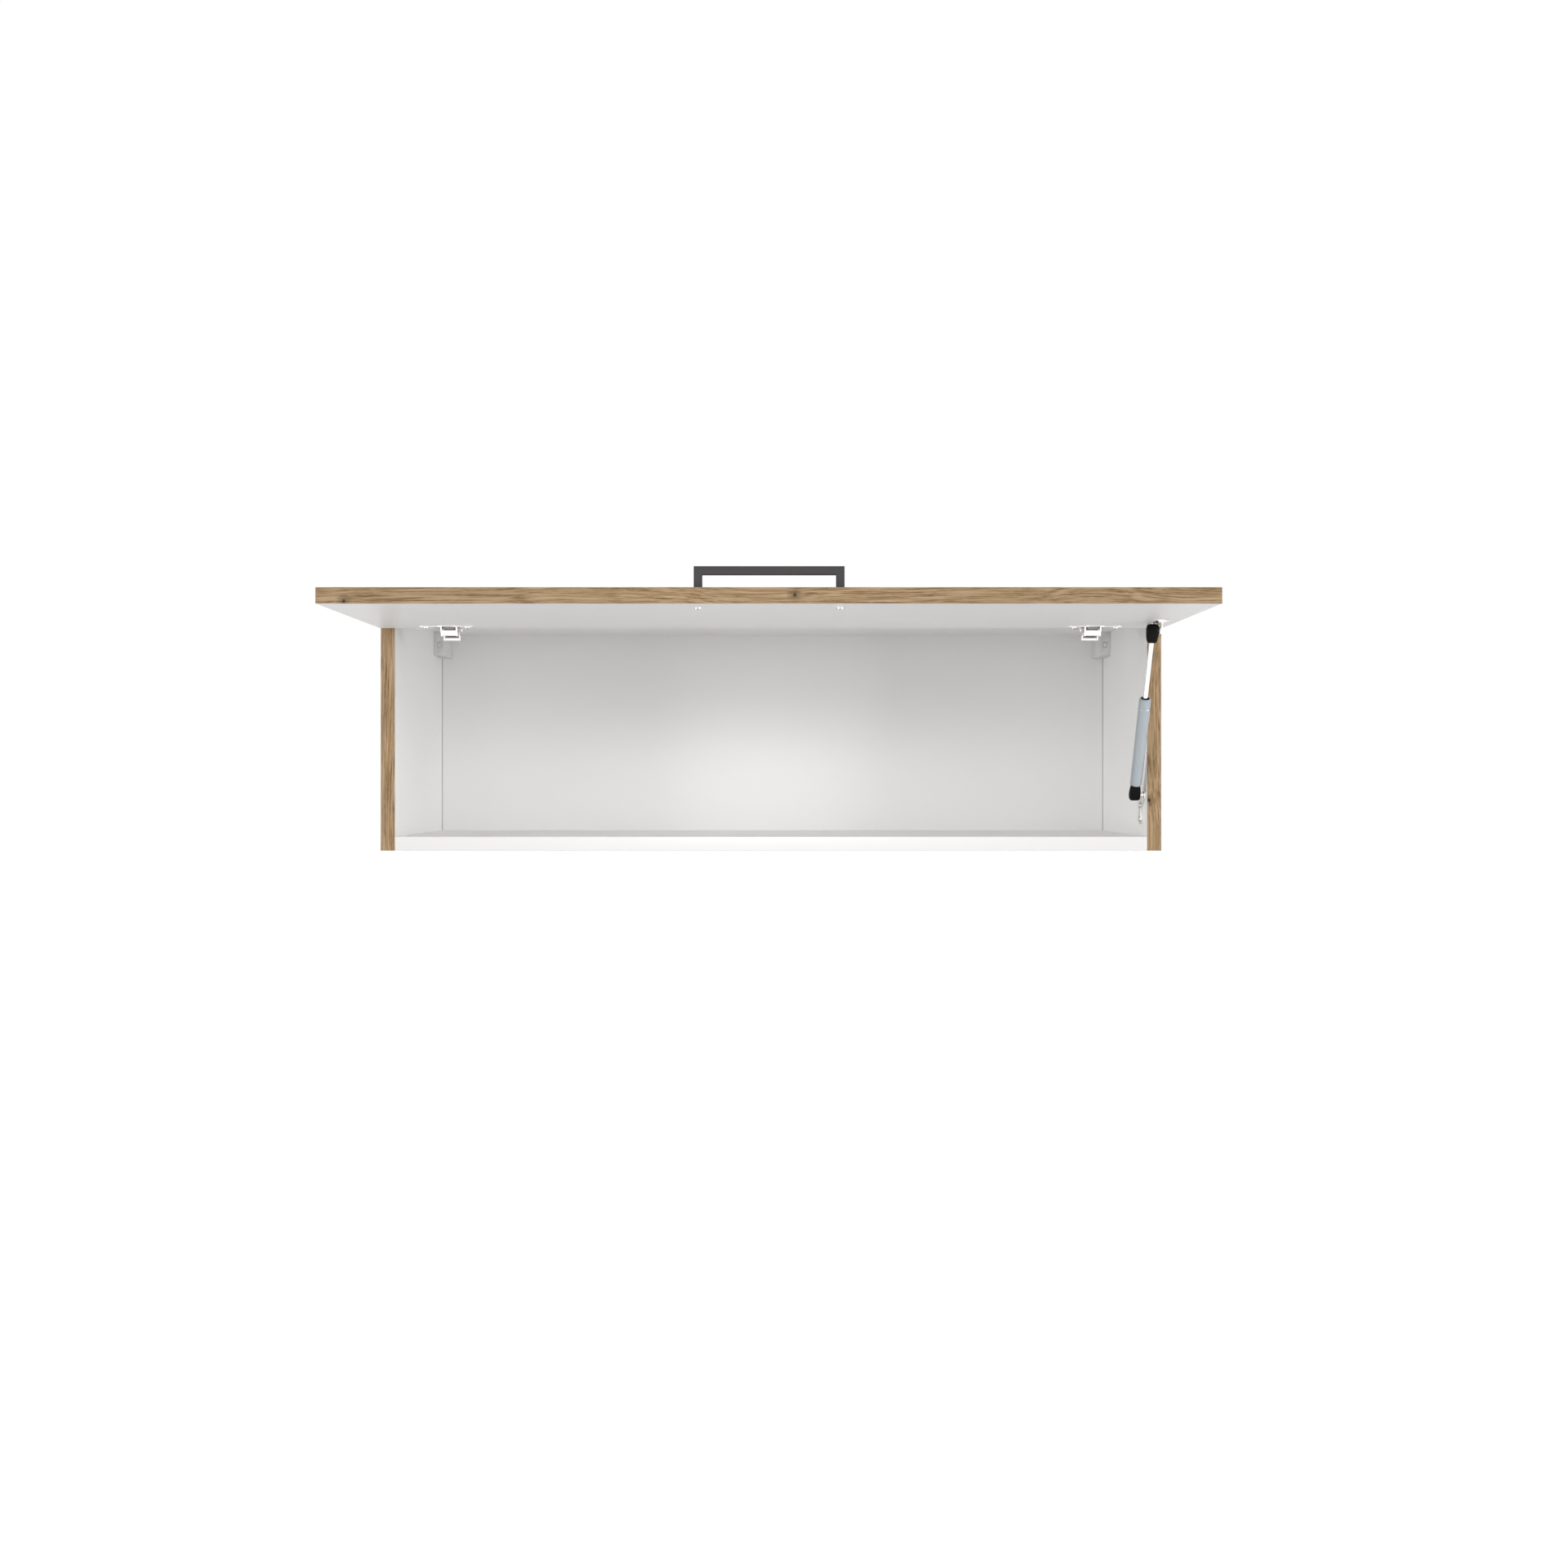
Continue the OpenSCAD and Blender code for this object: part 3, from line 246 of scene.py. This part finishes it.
# Back panel: 3 mm hardboard slid into a groove all round. Its front is lacquered white, and its
# rear is left as bare brown fibre.
GROOVE_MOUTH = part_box("right_side")[0].x     # how far from the middle a side's inner face is
# width of the painted shade band along each groove mouth
SEAM_SHADE_WIDTH = 0.001


def hardboard(tree):
    """Bare hardboard: felted fibres about 1 mm wide, warm brown."""
    place = add(tree, "ShaderNodeTexCoord", give="Object")
    fibres = add(tree, "ShaderNodeTexNoise", inputs={
        "Vector": place, "Scale": 1000/1.2, "Detail": 4, "Roughness": 0.65})
    colour = add(tree, "ShaderNodeValToRGB", inputs={"Fac": fibres}, stops=[
        (0.3, "#6f5236"), (0.7, "#937250")])
    return colour, 0.8, fibres


def white_lacquer(tree):
    """White roller lacquer on hardboard: flatter than melamine, with a fine orange peel.

    Along the mouths of the side grooves a band of painted shade darkens it, which draws the two
    seams.
    """
    place = add(tree, "ShaderNodeTexCoord", give="Object")
    peel = add(tree, "ShaderNodeTexNoise", inputs={"Vector": place, "Scale": 1000/2.5, "Detail": 2})
    roughness = add(tree, "ShaderNodeMapRange", inputs={
        "Value": peel, **NOISE_SPAN, "To Min": 0.42, "To Max": 0.5})
    split = add(tree, "ShaderNodeSeparateXYZ", inputs={"Vector": place})
    from_middle = add(tree, "ShaderNodeMath", {"operation": "ABSOLUTE"}, {0: split})
    painted_seam_shade = add(tree, "ShaderNodeMath", {"operation": "GREATER_THAN"}, {
        0: from_middle, 1: GROOVE_MOUTH - SEAM_SHADE_WIDTH})
    # painted shade: a dark grey band along each groove mouth stands in for the shadow in the seam
    colour = add(tree, "ShaderNodeMix", {"data_type": "RGBA"}, {
        "Factor": painted_seam_shade, "A": linear("#f1f0ef"), "B": linear("#a3a19f")})
    return colour, roughness, peel


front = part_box("back_panel")[0].y
dress(finish("hardboard_lacquered_white", faced(
    hardboard, (Y, front, white_lacquer)), bump_mm=0.015), "back_panel")


# Carcass edging: 1 mm plastic strip glued on the front edges, then scraped and buffed so that both
# long corners are rounded. Oak print on the sides, plain white on the top and the bottom.
EDGING_ROUND = 0.0008
ON_PLANE = 1e-6


def piece_of(name, mesh, sharp=32):
    """A mesh as an object, smooth except at corners sharper than this many degrees."""
    data = bpy.data.meshes.new(name)
    mesh.to_mesh(data)
    mesh.free()
    data.shade_smooth()
    data.set_sharp_from_angle(angle=math.radians(sharp))
    piece = bpy.data.objects.new(name, data)
    bpy.context.scene.collection.objects.link(piece)
    return piece


def rounded_strip(name, low, high, axis, at):
    """A strip between two corners, rounded at the edges that lie where its axis is at."""
    mesh = bmesh.new()
    low, high = Vector(low), Vector(high)
    bmesh.ops.create_cube(mesh, size=1, matrix=Matrix.Translation((low + high)/2)
                          @ Matrix.Diagonal(high - low).to_4x4())
    outer = [e for e in mesh.edges if all(abs(v.co[axis] - at) < ON_PLANE for v in e.verts)]
    bmesh.ops.bevel(mesh, geom=outer, offset=EDGING_ROUND, segments=4, profile=0.5, affect="EDGES")
    return piece_of(name, mesh)


def place_piece(piece, material, body, slot, *nodes):
    """Gives a piece its material and the body it rides on, and hides the nodes it replaces; slot is
    not used.
    """
    piece.data.materials.clear()
    piece.data.materials.append(material)
    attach(piece, body)
    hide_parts(*nodes)


def oak_strip(name, low, high, axis, at, grain, knots, body, node):
    """An oak print strip, duller than plain plastic. Its lines run along the grain axis."""
    oak_print = finish(name + "_oak_print", oak(grain, knots), bump_mm=0.02,
                       shader={"Specular IOR Level": 0.25})
    place_piece(rounded_strip(name, low, high, axis, at), oak_print, body, "oak_edging", node)


def white_plastic(tree):
    """White edging: plain plastic, a little brighter and smoother than the boards."""
    place = add(tree, "ShaderNodeTexCoord", give="Object")
    buffing = add(tree, "ShaderNodeTexNoise", inputs={
        "Vector": place, "Scale": 1000/3, "Detail": 1})
    roughness = add(tree, "ShaderNodeMapRange", inputs={
        "Value": buffing, **NOISE_SPAN, "To Min": 0.3, "To Max": 0.38})
    return linear("#eceae9"), roughness, buffing


right_knot = (0.4843, CARCASS_FRONT, 0.0648)
for name, knots in (("left_side_edging", ()), ("right_side_edging", [right_knot])):
    low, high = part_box(name)
    oak_strip(name + "_strip", low, high, Y, low.y, Z, knots, "carcass", name)
white_edging = finish("white_edging_buffed", white_plastic, bump_mm=0.004)
for name in ("top_edging", "bottom_edging"):
    low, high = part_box(name)
    strip = rounded_strip(name + "_strip", low, high, Y, low.y)
    place_piece(strip, white_edging, "carcass", "white_edging", name)


# Board joints: beech dowels, and zinc cam locks that pull on steel bolts. The cams show on
# top of the cabinet and underneath.
METAL = {"Metallic": 1}


def beech(tree):
    """Raw beech: straight pale grain 1 mm wide along the dowel."""
    place = add(tree, "ShaderNodeTexCoord", give="Object")
    squeezed = add(tree, "ShaderNodeMapping", inputs={
        "Vector": place, "Scale": (1000/10, 1000/1, 1000/1)})
    grain = add(tree, "ShaderNodeTexNoise", inputs={"Vector": squeezed, "Scale": 1, "Detail": 2})
    colour = add(tree, "ShaderNodeValToRGB", inputs={"Fac": grain}, stops=[
        (0.3, "#c4a377"), (0.7, "#dcc39b")])
    return colour, 0.7, grain


def cast_zinc(tree):
    """Die-cast zinc from a tumbler: dull grey with a fine pebbled skin, 0.8 mm."""
    place = add(tree, "ShaderNodeTexCoord", give="Object")
    skin = add(tree, "ShaderNodeTexNoise", inputs={"Vector": place, "Scale": 1000/0.8, "Detail": 3})
    roughness = add(tree, "ShaderNodeMapRange", inputs={
        "Value": skin, **NOISE_SPAN, "To Min": 0.42, "To Max": 0.58})
    return linear("#9c9fa3"), roughness, skin


def zinc_plate(tree):
    """Bright zinc on steel: pale, with a soft sheen in clouds of about 2 mm."""
    place = add(tree, "ShaderNodeTexCoord", give="Object")
    cloud = add(tree, "ShaderNodeTexNoise", inputs={
        "Vector": place, "Scale": 1000/2.2, "Detail": 3})
    colour = add(tree, "ShaderNodeValToRGB", inputs={"Fac": cloud}, stops=[
        (0.35, "#d3d5d8"), (0.65, "#e2e3e3")])
    roughness = add(tree, "ShaderNodeMapRange", inputs={
        "Value": cloud, **NOISE_SPAN, "To Min": 0.24, "To Max": 0.36})
    return colour, roughness, cloud


dress(finish("raw_beech", beech, bump_mm=0.02), "carcass_dowels")
dress(finish("die_cast_zinc", cast_zinc, bump_mm=0.02, shader=METAL), "cam_locks")
zinc_plated = finish("zinc_plated_steel", zinc_plate, bump_mm=0.004, shader=METAL)
dress(zinc_plated, "cam_bolts")


# Hangers: housings of pale grey moulded plastic, pegged to the sides, with a zinc-plated hook that
# drops over the wall rail and an adjusting screw behind the round hole.
SAME_POINT = 2e-6
FLAT = math.radians(0.5)                     # faces that meet flatter than this become one
CORNER = math.radians(28)                    # edges sharper than this get rounded


def moulded_grey(tree):
    """Moulded polypropylene: the spark-eroded grain of its mould, 0.7 mm, takes the shine off."""
    place = add(tree, "ShaderNodeTexCoord", give="Object")
    spark = add(tree, "ShaderNodeTexNoise", inputs={
        "Vector": place, "Scale": 1000/0.7, "Detail": 2})
    roughness = add(tree, "ShaderNodeMapRange", inputs={
        "Value": spark, **NOISE_SPAN, "To Min": 0.42, "To Max": 0.52})
    return linear("#dddddb"), roughness, spark


def softened(name, body, material, slot, radius, segments=2):
    """A CAD node's own shape with its sharp corners rounded by radius."""
    mesh = bmesh.new()
    mesh.from_mesh(frame["nodes"][name].data)
    bmesh.ops.remove_doubles(mesh, verts=mesh.verts, dist=SAME_POINT)
    bmesh.ops.dissolve_limit(mesh, angle_limit=FLAT, verts=mesh.verts, edges=mesh.edges)
    sharp = [e for e in mesh.edges if len(e.link_faces) == 2 and e.calc_face_angle() > CORNER]
    bmesh.ops.bevel(mesh, geom=sharp, offset=radius, segments=segments, profile=0.5,
                    affect="EDGES", clamp_overlap=True)
    place_piece(piece_of(name + "_piece", mesh), material, body, slot, name)


hanger_plastic = finish("moulded_polypropylene", moulded_grey, bump_mm=0.01)
for name in ("left_hanger", "right_hanger"):
    softened(name, "carcass", hanger_plastic, "hanger_plastic", radius=0.0006)
dress(zinc_plated, "hanger_hooks", "hanger_screws")


# Hinges: pressed and plated steel. The plate is screwed under the top panel and the arm to the
# plate, and two links join the arm to the cup that is let into the flap. All are satin nickel, but
# for the bright pins and the outer links, whose darker grey is painted shade for the hinge's
# window.
def nickel(colour, smooth, rough):
    """Nickel over pressed steel, from nearly a mirror to satin, with tumbling marks of 1.5 mm.

    Plain nickel is a warm silver; the smoky grey given to the outer links is painted shade.
    """
    def look(tree):
        place = add(tree, "ShaderNodeTexCoord", give="Object")
        marks = add(tree, "ShaderNodeTexNoise", inputs={
            "Vector": place, "Scale": 1000/1.5, "Detail": 3})
        roughness = add(tree, "ShaderNodeMapRange", inputs={
            "Value": marks, **NOISE_SPAN, "To Min": smooth, "To Max": rough})
        return linear(colour), roughness, marks
    return look


satin_nickel = finish(
    "satin_nickel_on_steel", nickel("#ebe9e6", 0.3, 0.42), bump_mm=0.002, shader=METAL)
bright_nickel = finish(
    "bright_nickel_on_steel", nickel("#e6e3df", 0.12, 0.22), bump_mm=0.002, shader=METAL)
# painted shade: the outer links get a smoky grey copy of the nickel to stand in for the shade in
# the hinge's window
shade_grey_nickel = finish(
    "black_nickel_on_steel", nickel("#807d7b", 0.3, 0.4), bump_mm=0.002, shader=METAL)
for side in ("left_", "right_"):
    softened(side + "hinge_plate", "carcass", satin_nickel, "nickel_steel", radius=0.0004)
    softened(side + "hinge_arm", "carcass", satin_nickel, "nickel_steel", radius=0.0003)
    softened(side + "outer_link", "outer_links", shade_grey_nickel, "nickel_steel", radius=0.0003)
    softened(side + "inner_link", "inner_links", satin_nickel, "nickel_steel", radius=0.0004)
    softened(side + "hinge_cup", "flap", satin_nickel, "nickel_steel", radius=0.0002)
dress(bright_nickel, "hinge_arm_pins", "inner_link_pins", "cup_pins")
dress(zinc_plated, "hinge_plate_screws", "hinge_arm_screws", "cup_screws")


# Flap: the same chipboard, white inside and oak print outside, with oak edging on all four edges.
# Its grain runs along its length, and the two long strips cover the ends of the short ones.
low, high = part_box("flap_panel")
face_knots = [(-0.31, -0.262, high.z), (0.055, -0.41, high.z), (0.338, -0.318, high.z)]
dress(finish("flap_chipboard_in_oak_print_and_white_melamine", faced(
    chipboard, (Z, low.z, melamine), (Z, high.z, oak(X, face_knots))), bump_mm=0.03), "flap_panel")
strip_t = low.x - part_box("flap_long_edgings")[0].x
low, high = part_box("flap_long_edgings")
front_knots = [(-0.4675, low.y, 0.2862), (0.0285, low.y, 0.2935)]
for name, y, outside, knots in (("flap_front_strip", low.y, low.y, front_knots),
                                ("flap_rear_strip", high.y - strip_t, high.y, ())):
    oak_strip(name, (low.x, y, low.z), (high.x, y + strip_t, high.z), Y, outside,
              X, knots, "flap", "flap_long_edgings")
low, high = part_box("flap_short_edgings")
for name, x, outside in (("flap_left_strip", low.x, low.x),
                         ("flap_right_strip", high.x - strip_t, high.x)):
    oak_strip(name, (x, low.y, low.z), (x + strip_t, high.y, high.z), X, outside,
              Y, (), "flap", "flap_short_edgings")


# Handle: a bow of square steel bar, mitred and welded, powder coated in anthracite. Two machine
# screws hold it through the flap.
def powder_coat(tree):
    """Anthracite powder coat, with the orange peel of about 1 mm that it sets with."""
    place = add(tree, "ShaderNodeTexCoord", give="Object")
    peel = add(tree, "ShaderNodeTexNoise", inputs={"Vector": place, "Scale": 1000/1.1, "Detail": 2})
    roughness = add(tree, "ShaderNodeMapRange", inputs={
        "Value": peel, **NOISE_SPAN, "To Min": 0.42, "To Max": 0.54})
    return linear("#3c3a3b"), roughness, peel


anthracite = finish("anthracite_powder_coat", powder_coat, bump_mm=0.012,
                    shader={"Specular IOR Level": 0.3})
softened("handle", "flap", anthracite, "anthracite_metal", radius=0.0006, segments=3)
dress(zinc_plated, "handle_screws")


# Gas strut: a chromed rod that slides in a lacquered steel tube. Black nylon sockets snap over the
# ball studs of an angle under the flap and of a plate on the right side.
SOCKET_ROUND = 0.00775                       # the round end's radius, about the ball's centre
SEAT_R, MOUTH_R = 0.0041, 0.0036             # the mouth is narrower than the 8 mm ball it holds
BORE_R = 0.00305                             # for the 6 mm rod
MOUTH_REACH, BORE_PAST = 0.02, 0.002         # how far their cutters run out
RIB_PITCH, RIB_DEEP = 0.003, 0.00035
SQUARING = 0.62                              # at 1 a socket is round, and lower is flatter-sided


def grey_lacquer(tree):
    """Silver-grey lacquer, sprayed and baked: fine flake of 0.6 mm under a satin skin."""
    place = add(tree, "ShaderNodeTexCoord", give="Object")
    flake = add(tree, "ShaderNodeTexNoise", inputs={
        "Vector": place, "Scale": 1000/0.6, "Detail": 2})
    colour = add(tree, "ShaderNodeValToRGB", inputs={"Fac": flake}, stops=[
        (0.3, "#a0a7ac"), (0.7, "#aab1b6")])
    roughness = add(tree, "ShaderNodeMapRange", inputs={
        "Value": flake, **NOISE_SPAN, "To Min": 0.3, "To Max": 0.4})
    return colour, roughness, flake


def hard_chrome(tree):
    """Hard chrome, ground and polished: a mirror but for faint level lines 0.4 mm apart."""
    place = add(tree, "ShaderNodeTexCoord", give="Object")
    squeezed = add(tree, "ShaderNodeMapping", inputs={
        "Vector": place, "Scale": (1000/5, 1000/5, 1000/0.4)})
    lines = add(tree, "ShaderNodeTexNoise", inputs={"Vector": squeezed, "Scale": 1, "Detail": 2})
    roughness = add(tree, "ShaderNodeMapRange", inputs={
        "Value": lines, **NOISE_SPAN, "To Min": 0.08, "To Max": 0.14})
    return linear("#f0f0f1"), roughness, lines


def nylon(tree):
    """Black glass-filled nylon: the mould's fine grain, 0.5 mm, leaves it almost matt."""
    place = add(tree, "ShaderNodeTexCoord", give="Object")
    spark = add(tree, "ShaderNodeTexNoise", inputs={
        "Vector": place, "Scale": 1000/0.5, "Detail": 2})
    roughness = add(tree, "ShaderNodeMapRange", inputs={
        "Value": spark, **NOISE_SPAN, "To Min": 0.5, "To Max": 0.62})
    return linear("#060606"), roughness, spark


def turned(mesh, start, end, radius):
    """Adds a closed round bar between two points to a mesh."""
    run = end - start
    upright = run.to_track_quat("Z", "Y").to_matrix().to_4x4()
    bmesh.ops.create_cone(mesh, cap_ends=True, segments=40, radius1=radius, radius2=radius,
                          depth=run.length, matrix=Matrix.Translation((start + end)/2) @ upright)


def socket_section(s, length, thick, ribbed):
    """Half the thickness and half the width of a socket, s along it from the ball's centre.

    Past the ball it is drawn in, by up to 22 percent in thickness and 26 in width.
    """
    if s < 0:
        half_x = thick*(1 - (-s/SOCKET_ROUND)**4)**0.25
        half_w = math.sqrt(SOCKET_ROUND**2 - s**2)
    else:
        drawn_in = (s/length)**1.8
        end = (1 - (s/length)**12)**(1/12)
        half_x = thick*(1 - 0.22*drawn_in)*end
        half_w = SOCKET_ROUND*(1 - 0.26*drawn_in)*end
    groove = RIB_DEEP*max(0, math.cos(2*math.pi*s/RIB_PITCH))**2 if ribbed else 0
    return half_x - groove, half_w - groove


def socket_skin(ball, along, length, thick, ribbed, stations=72, points=56):
    """A socket's closed skin: rings from its round end to its mouth, and a point at either end."""
    across = along.cross(Vector((1, 0, 0)))
    mesh = bmesh.new()
    rings = []
    for i in range(1, stations):
        s = (length - SOCKET_ROUND)/2 - (length + SOCKET_ROUND)/2*math.cos(math.pi*i/stations)
        half_x, half_w = socket_section(s, length, thick, ribbed)
        ring = []
        for k in range(points):
            turn = 2*math.pi*k/points
            c, d = math.cos(turn), math.sin(turn)
            x = math.copysign(abs(c)**SQUARING, c)*half_x
            w = math.copysign(abs(d)**SQUARING, d)*half_w
            ring.append(mesh.verts.new(ball + along*s + Vector((x, 0, 0)) + across*w))
        rings.append(ring)
    for lower, upper in zip(rings, rings[1:]):
        for k in range(points):
            mesh.faces.new((lower[k - 1], lower[k], upper[k], upper[k - 1]))
    for ring, s in ((rings[0], -SOCKET_ROUND), (rings[-1], length)):
        pole = mesh.verts.new(ball + along*s)
        for k in range(points):
            mesh.faces.new((ring[k - 1], ring[k], pole))
    bmesh.ops.recalc_face_normals(mesh, faces=mesh.faces)
    return mesh


def ball_socket(name, node, body, ball, along, length, bore_deep, ribbed):
    """A moulded socket: round over the ball, flat-sided, and drawn in to where the rod goes in.

    It is as thick as its CAD node. Its seat opens towards +X, where the ball's stud comes from.
    """
    low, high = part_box(node)
    socket = piece_of(name, socket_skin(ball, along, length, (high.x - low.x)/2, ribbed), sharp=50)
    seat, mouth, bore = bmesh.new(), bmesh.new(), bmesh.new()
    bmesh.ops.create_uvsphere(
        seat, u_segments=40, v_segments=20, radius=SEAT_R, matrix=Matrix.Translation(ball))
    turned(mouth, ball, ball + Vector((MOUTH_REACH, 0, 0)), MOUTH_R)
    turned(bore, ball + along*(length - bore_deep), ball + along*(length + BORE_PAST), BORE_R)
    cutters = [piece_of("cutter", shape) for shape in (seat, mouth, bore)]
    for cutter in cutters:
        cut = socket.modifiers.new("cut", "BOOLEAN")
        cut.object = cutter
        cut.solver = "EXACT"
    shape = bpy.data.meshes.new_from_object(
        socket.evaluated_get(bpy.context.evaluated_depsgraph_get()))
    socket.modifiers.clear()
    socket.data = shape
    for cutter in cutters:
        bpy.data.objects.remove(cutter)
    place_piece(socket, black_nylon, body, "black_plastic", node)


black_nylon = finish("black_nylon", nylon, bump_mm=0.01, shader={"Specular IOR Level": 0.1})
rod_low, rod_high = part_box("strut_rod")
balls = []
for name in ("upper_ball_stud", "lower_ball_stud"):
    low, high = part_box(name)
    balls.append(Vector(((rod_low.x + rod_high.x)/2, (low.y + high.y)/2, (low.z + high.z)/2)))
down = (balls[1] - balls[0]).normalized()
ball_socket("upper_ball_socket", "upper_socket", "strut_rod_end", balls[0], down,
            length=0.0153, bore_deep=0.006, ribbed=False)
ball_socket("lower_ball_socket", "lower_socket", "strut_tube_end", balls[1], -down,
            length=0.015, bore_deep=0.004, ribbed=True)
softened("flap_bracket", "flap", bright_nickel, "nickel_steel", radius=0.0004)
softened("side_bracket", "carcass", bright_nickel, "nickel_steel", radius=0.0004)
dress(bright_nickel, "upper_ball_stud", "lower_ball_stud")
dress(zinc_plated, "flap_bracket_screws", "side_bracket_screws")
dress(finish("hard_chrome_on_steel", hard_chrome, bump_mm=0.001, shader=METAL),
      "strut_rod", "strut_piston")
dress(finish("silver_grey_lacquer_on_steel", grey_lacquer, bump_mm=0.003,
             shader={"Metallic": 0.25}), "strut_tube")
dress(black_nylon, "strut_guide")


# Studio: the cabinet hangs 1.35 m above a plain white floor, between soft boxes in front, at both
# sides and above the rear. A spot in front shines in under the flap and puts the bright pool on the
# back panel.
FLOOR_Z = -1.35
PAPER_GLOW = 0.86
ROOM_LIGHT = 0.2


def seen(tree):
    """1 for what the camera sees, also in a mirror or through glass, and 0 for all other light."""
    camera_ray = rays = add(tree, "ShaderNodeLightPath", give="Is Camera Ray")
    for ray in ("Is Glossy Ray", "Is Transmission Ray"):
        rays = add(tree, "ShaderNodeMath", {"operation": "MAXIMUM"}, {
            0: rays, 1: camera_ray.node.outputs[ray]})
    return rays


plane = bmesh.new()
bmesh.ops.create_grid(plane, x_segments=1, y_segments=1, size=20)
floor = piece_of("floor", plane)
floor.location.z = FLOOR_Z
paper = bpy.data.materials.new("white_paper_floor")
paper.use_nodes = True
tree = paper.node_tree
tree.nodes.clear()
white = add(tree, "ShaderNodeMath", {"operation": "MULTIPLY"}, {0: seen(tree), 1: PAPER_GLOW})
glow = add(tree, "ShaderNodeEmission", inputs={"Strength": white})
lit = add(tree, "ShaderNodeBsdfDiffuse", inputs={"Color": linear("#e9e9e9")})
surface = add(tree, "ShaderNodeAddShader", inputs={0: lit, 1: glow})
add(tree, "ShaderNodeOutputMaterial", inputs={"Surface": surface})
floor.data.materials.append(paper)

world = bpy.data.worlds.new("studio")
bpy.context.scene.world = world
world.use_nodes = True
tree = world.node_tree
tree.nodes.clear()
strength = add(tree, "ShaderNodeMapRange", inputs={
    "Value": seen(tree), "To Min": ROOM_LIGHT, "To Max": 1})
light = add(tree, "ShaderNodeBackground", inputs={
    "Color": linear("#ffffff"), "Strength": strength})
add(tree, "ShaderNodeOutputWorld", inputs={"Surface": light})


def lamp(name, kind, place, target, watts, **sizes):
    """A soft box or a spot that stands at a place and points at a target."""
    light = bpy.data.lights.new(name, kind)
    light.energy = watts
    for size, value in sizes.items():
        setattr(light, size, value)
    stand = bpy.data.objects.new(name, light)
    stand.location = place
    stand.rotation_euler = (Vector(target) - Vector(place)).to_track_quat("-Z", "Y").to_euler()
    bpy.context.scene.collection.objects.link(stand)


for name, place, target, watts, width, height in (
        ("front_box", (0, -3.4, 0.4), (0, 0, 0.15), 15, 3, 1.2),
        ("left_box", (-3.1, -1.9, 0.35), (0.2, 0, 0.15), 61, 1.4, 1.4),
        ("right_box", (3.1, -1.9, 0.35), (-0.2, 0, 0.15), 70, 1.4, 1.4),
        ("top_box", (0, 1.6, 2.4), (0, 0.1, 0.2), 50, 2.4, 1.6)):
    lamp(name, "AREA", place, target, watts, shape="RECTANGLE", size=width, size_y=height)
lamp("pool_spot", "SPOT", (-0.1, -3.3, 0.75), (-0.02, 0.15, 0.05), 68,
     spot_size=math.radians(17), spot_blend=1, shadow_soft_size=0.3)
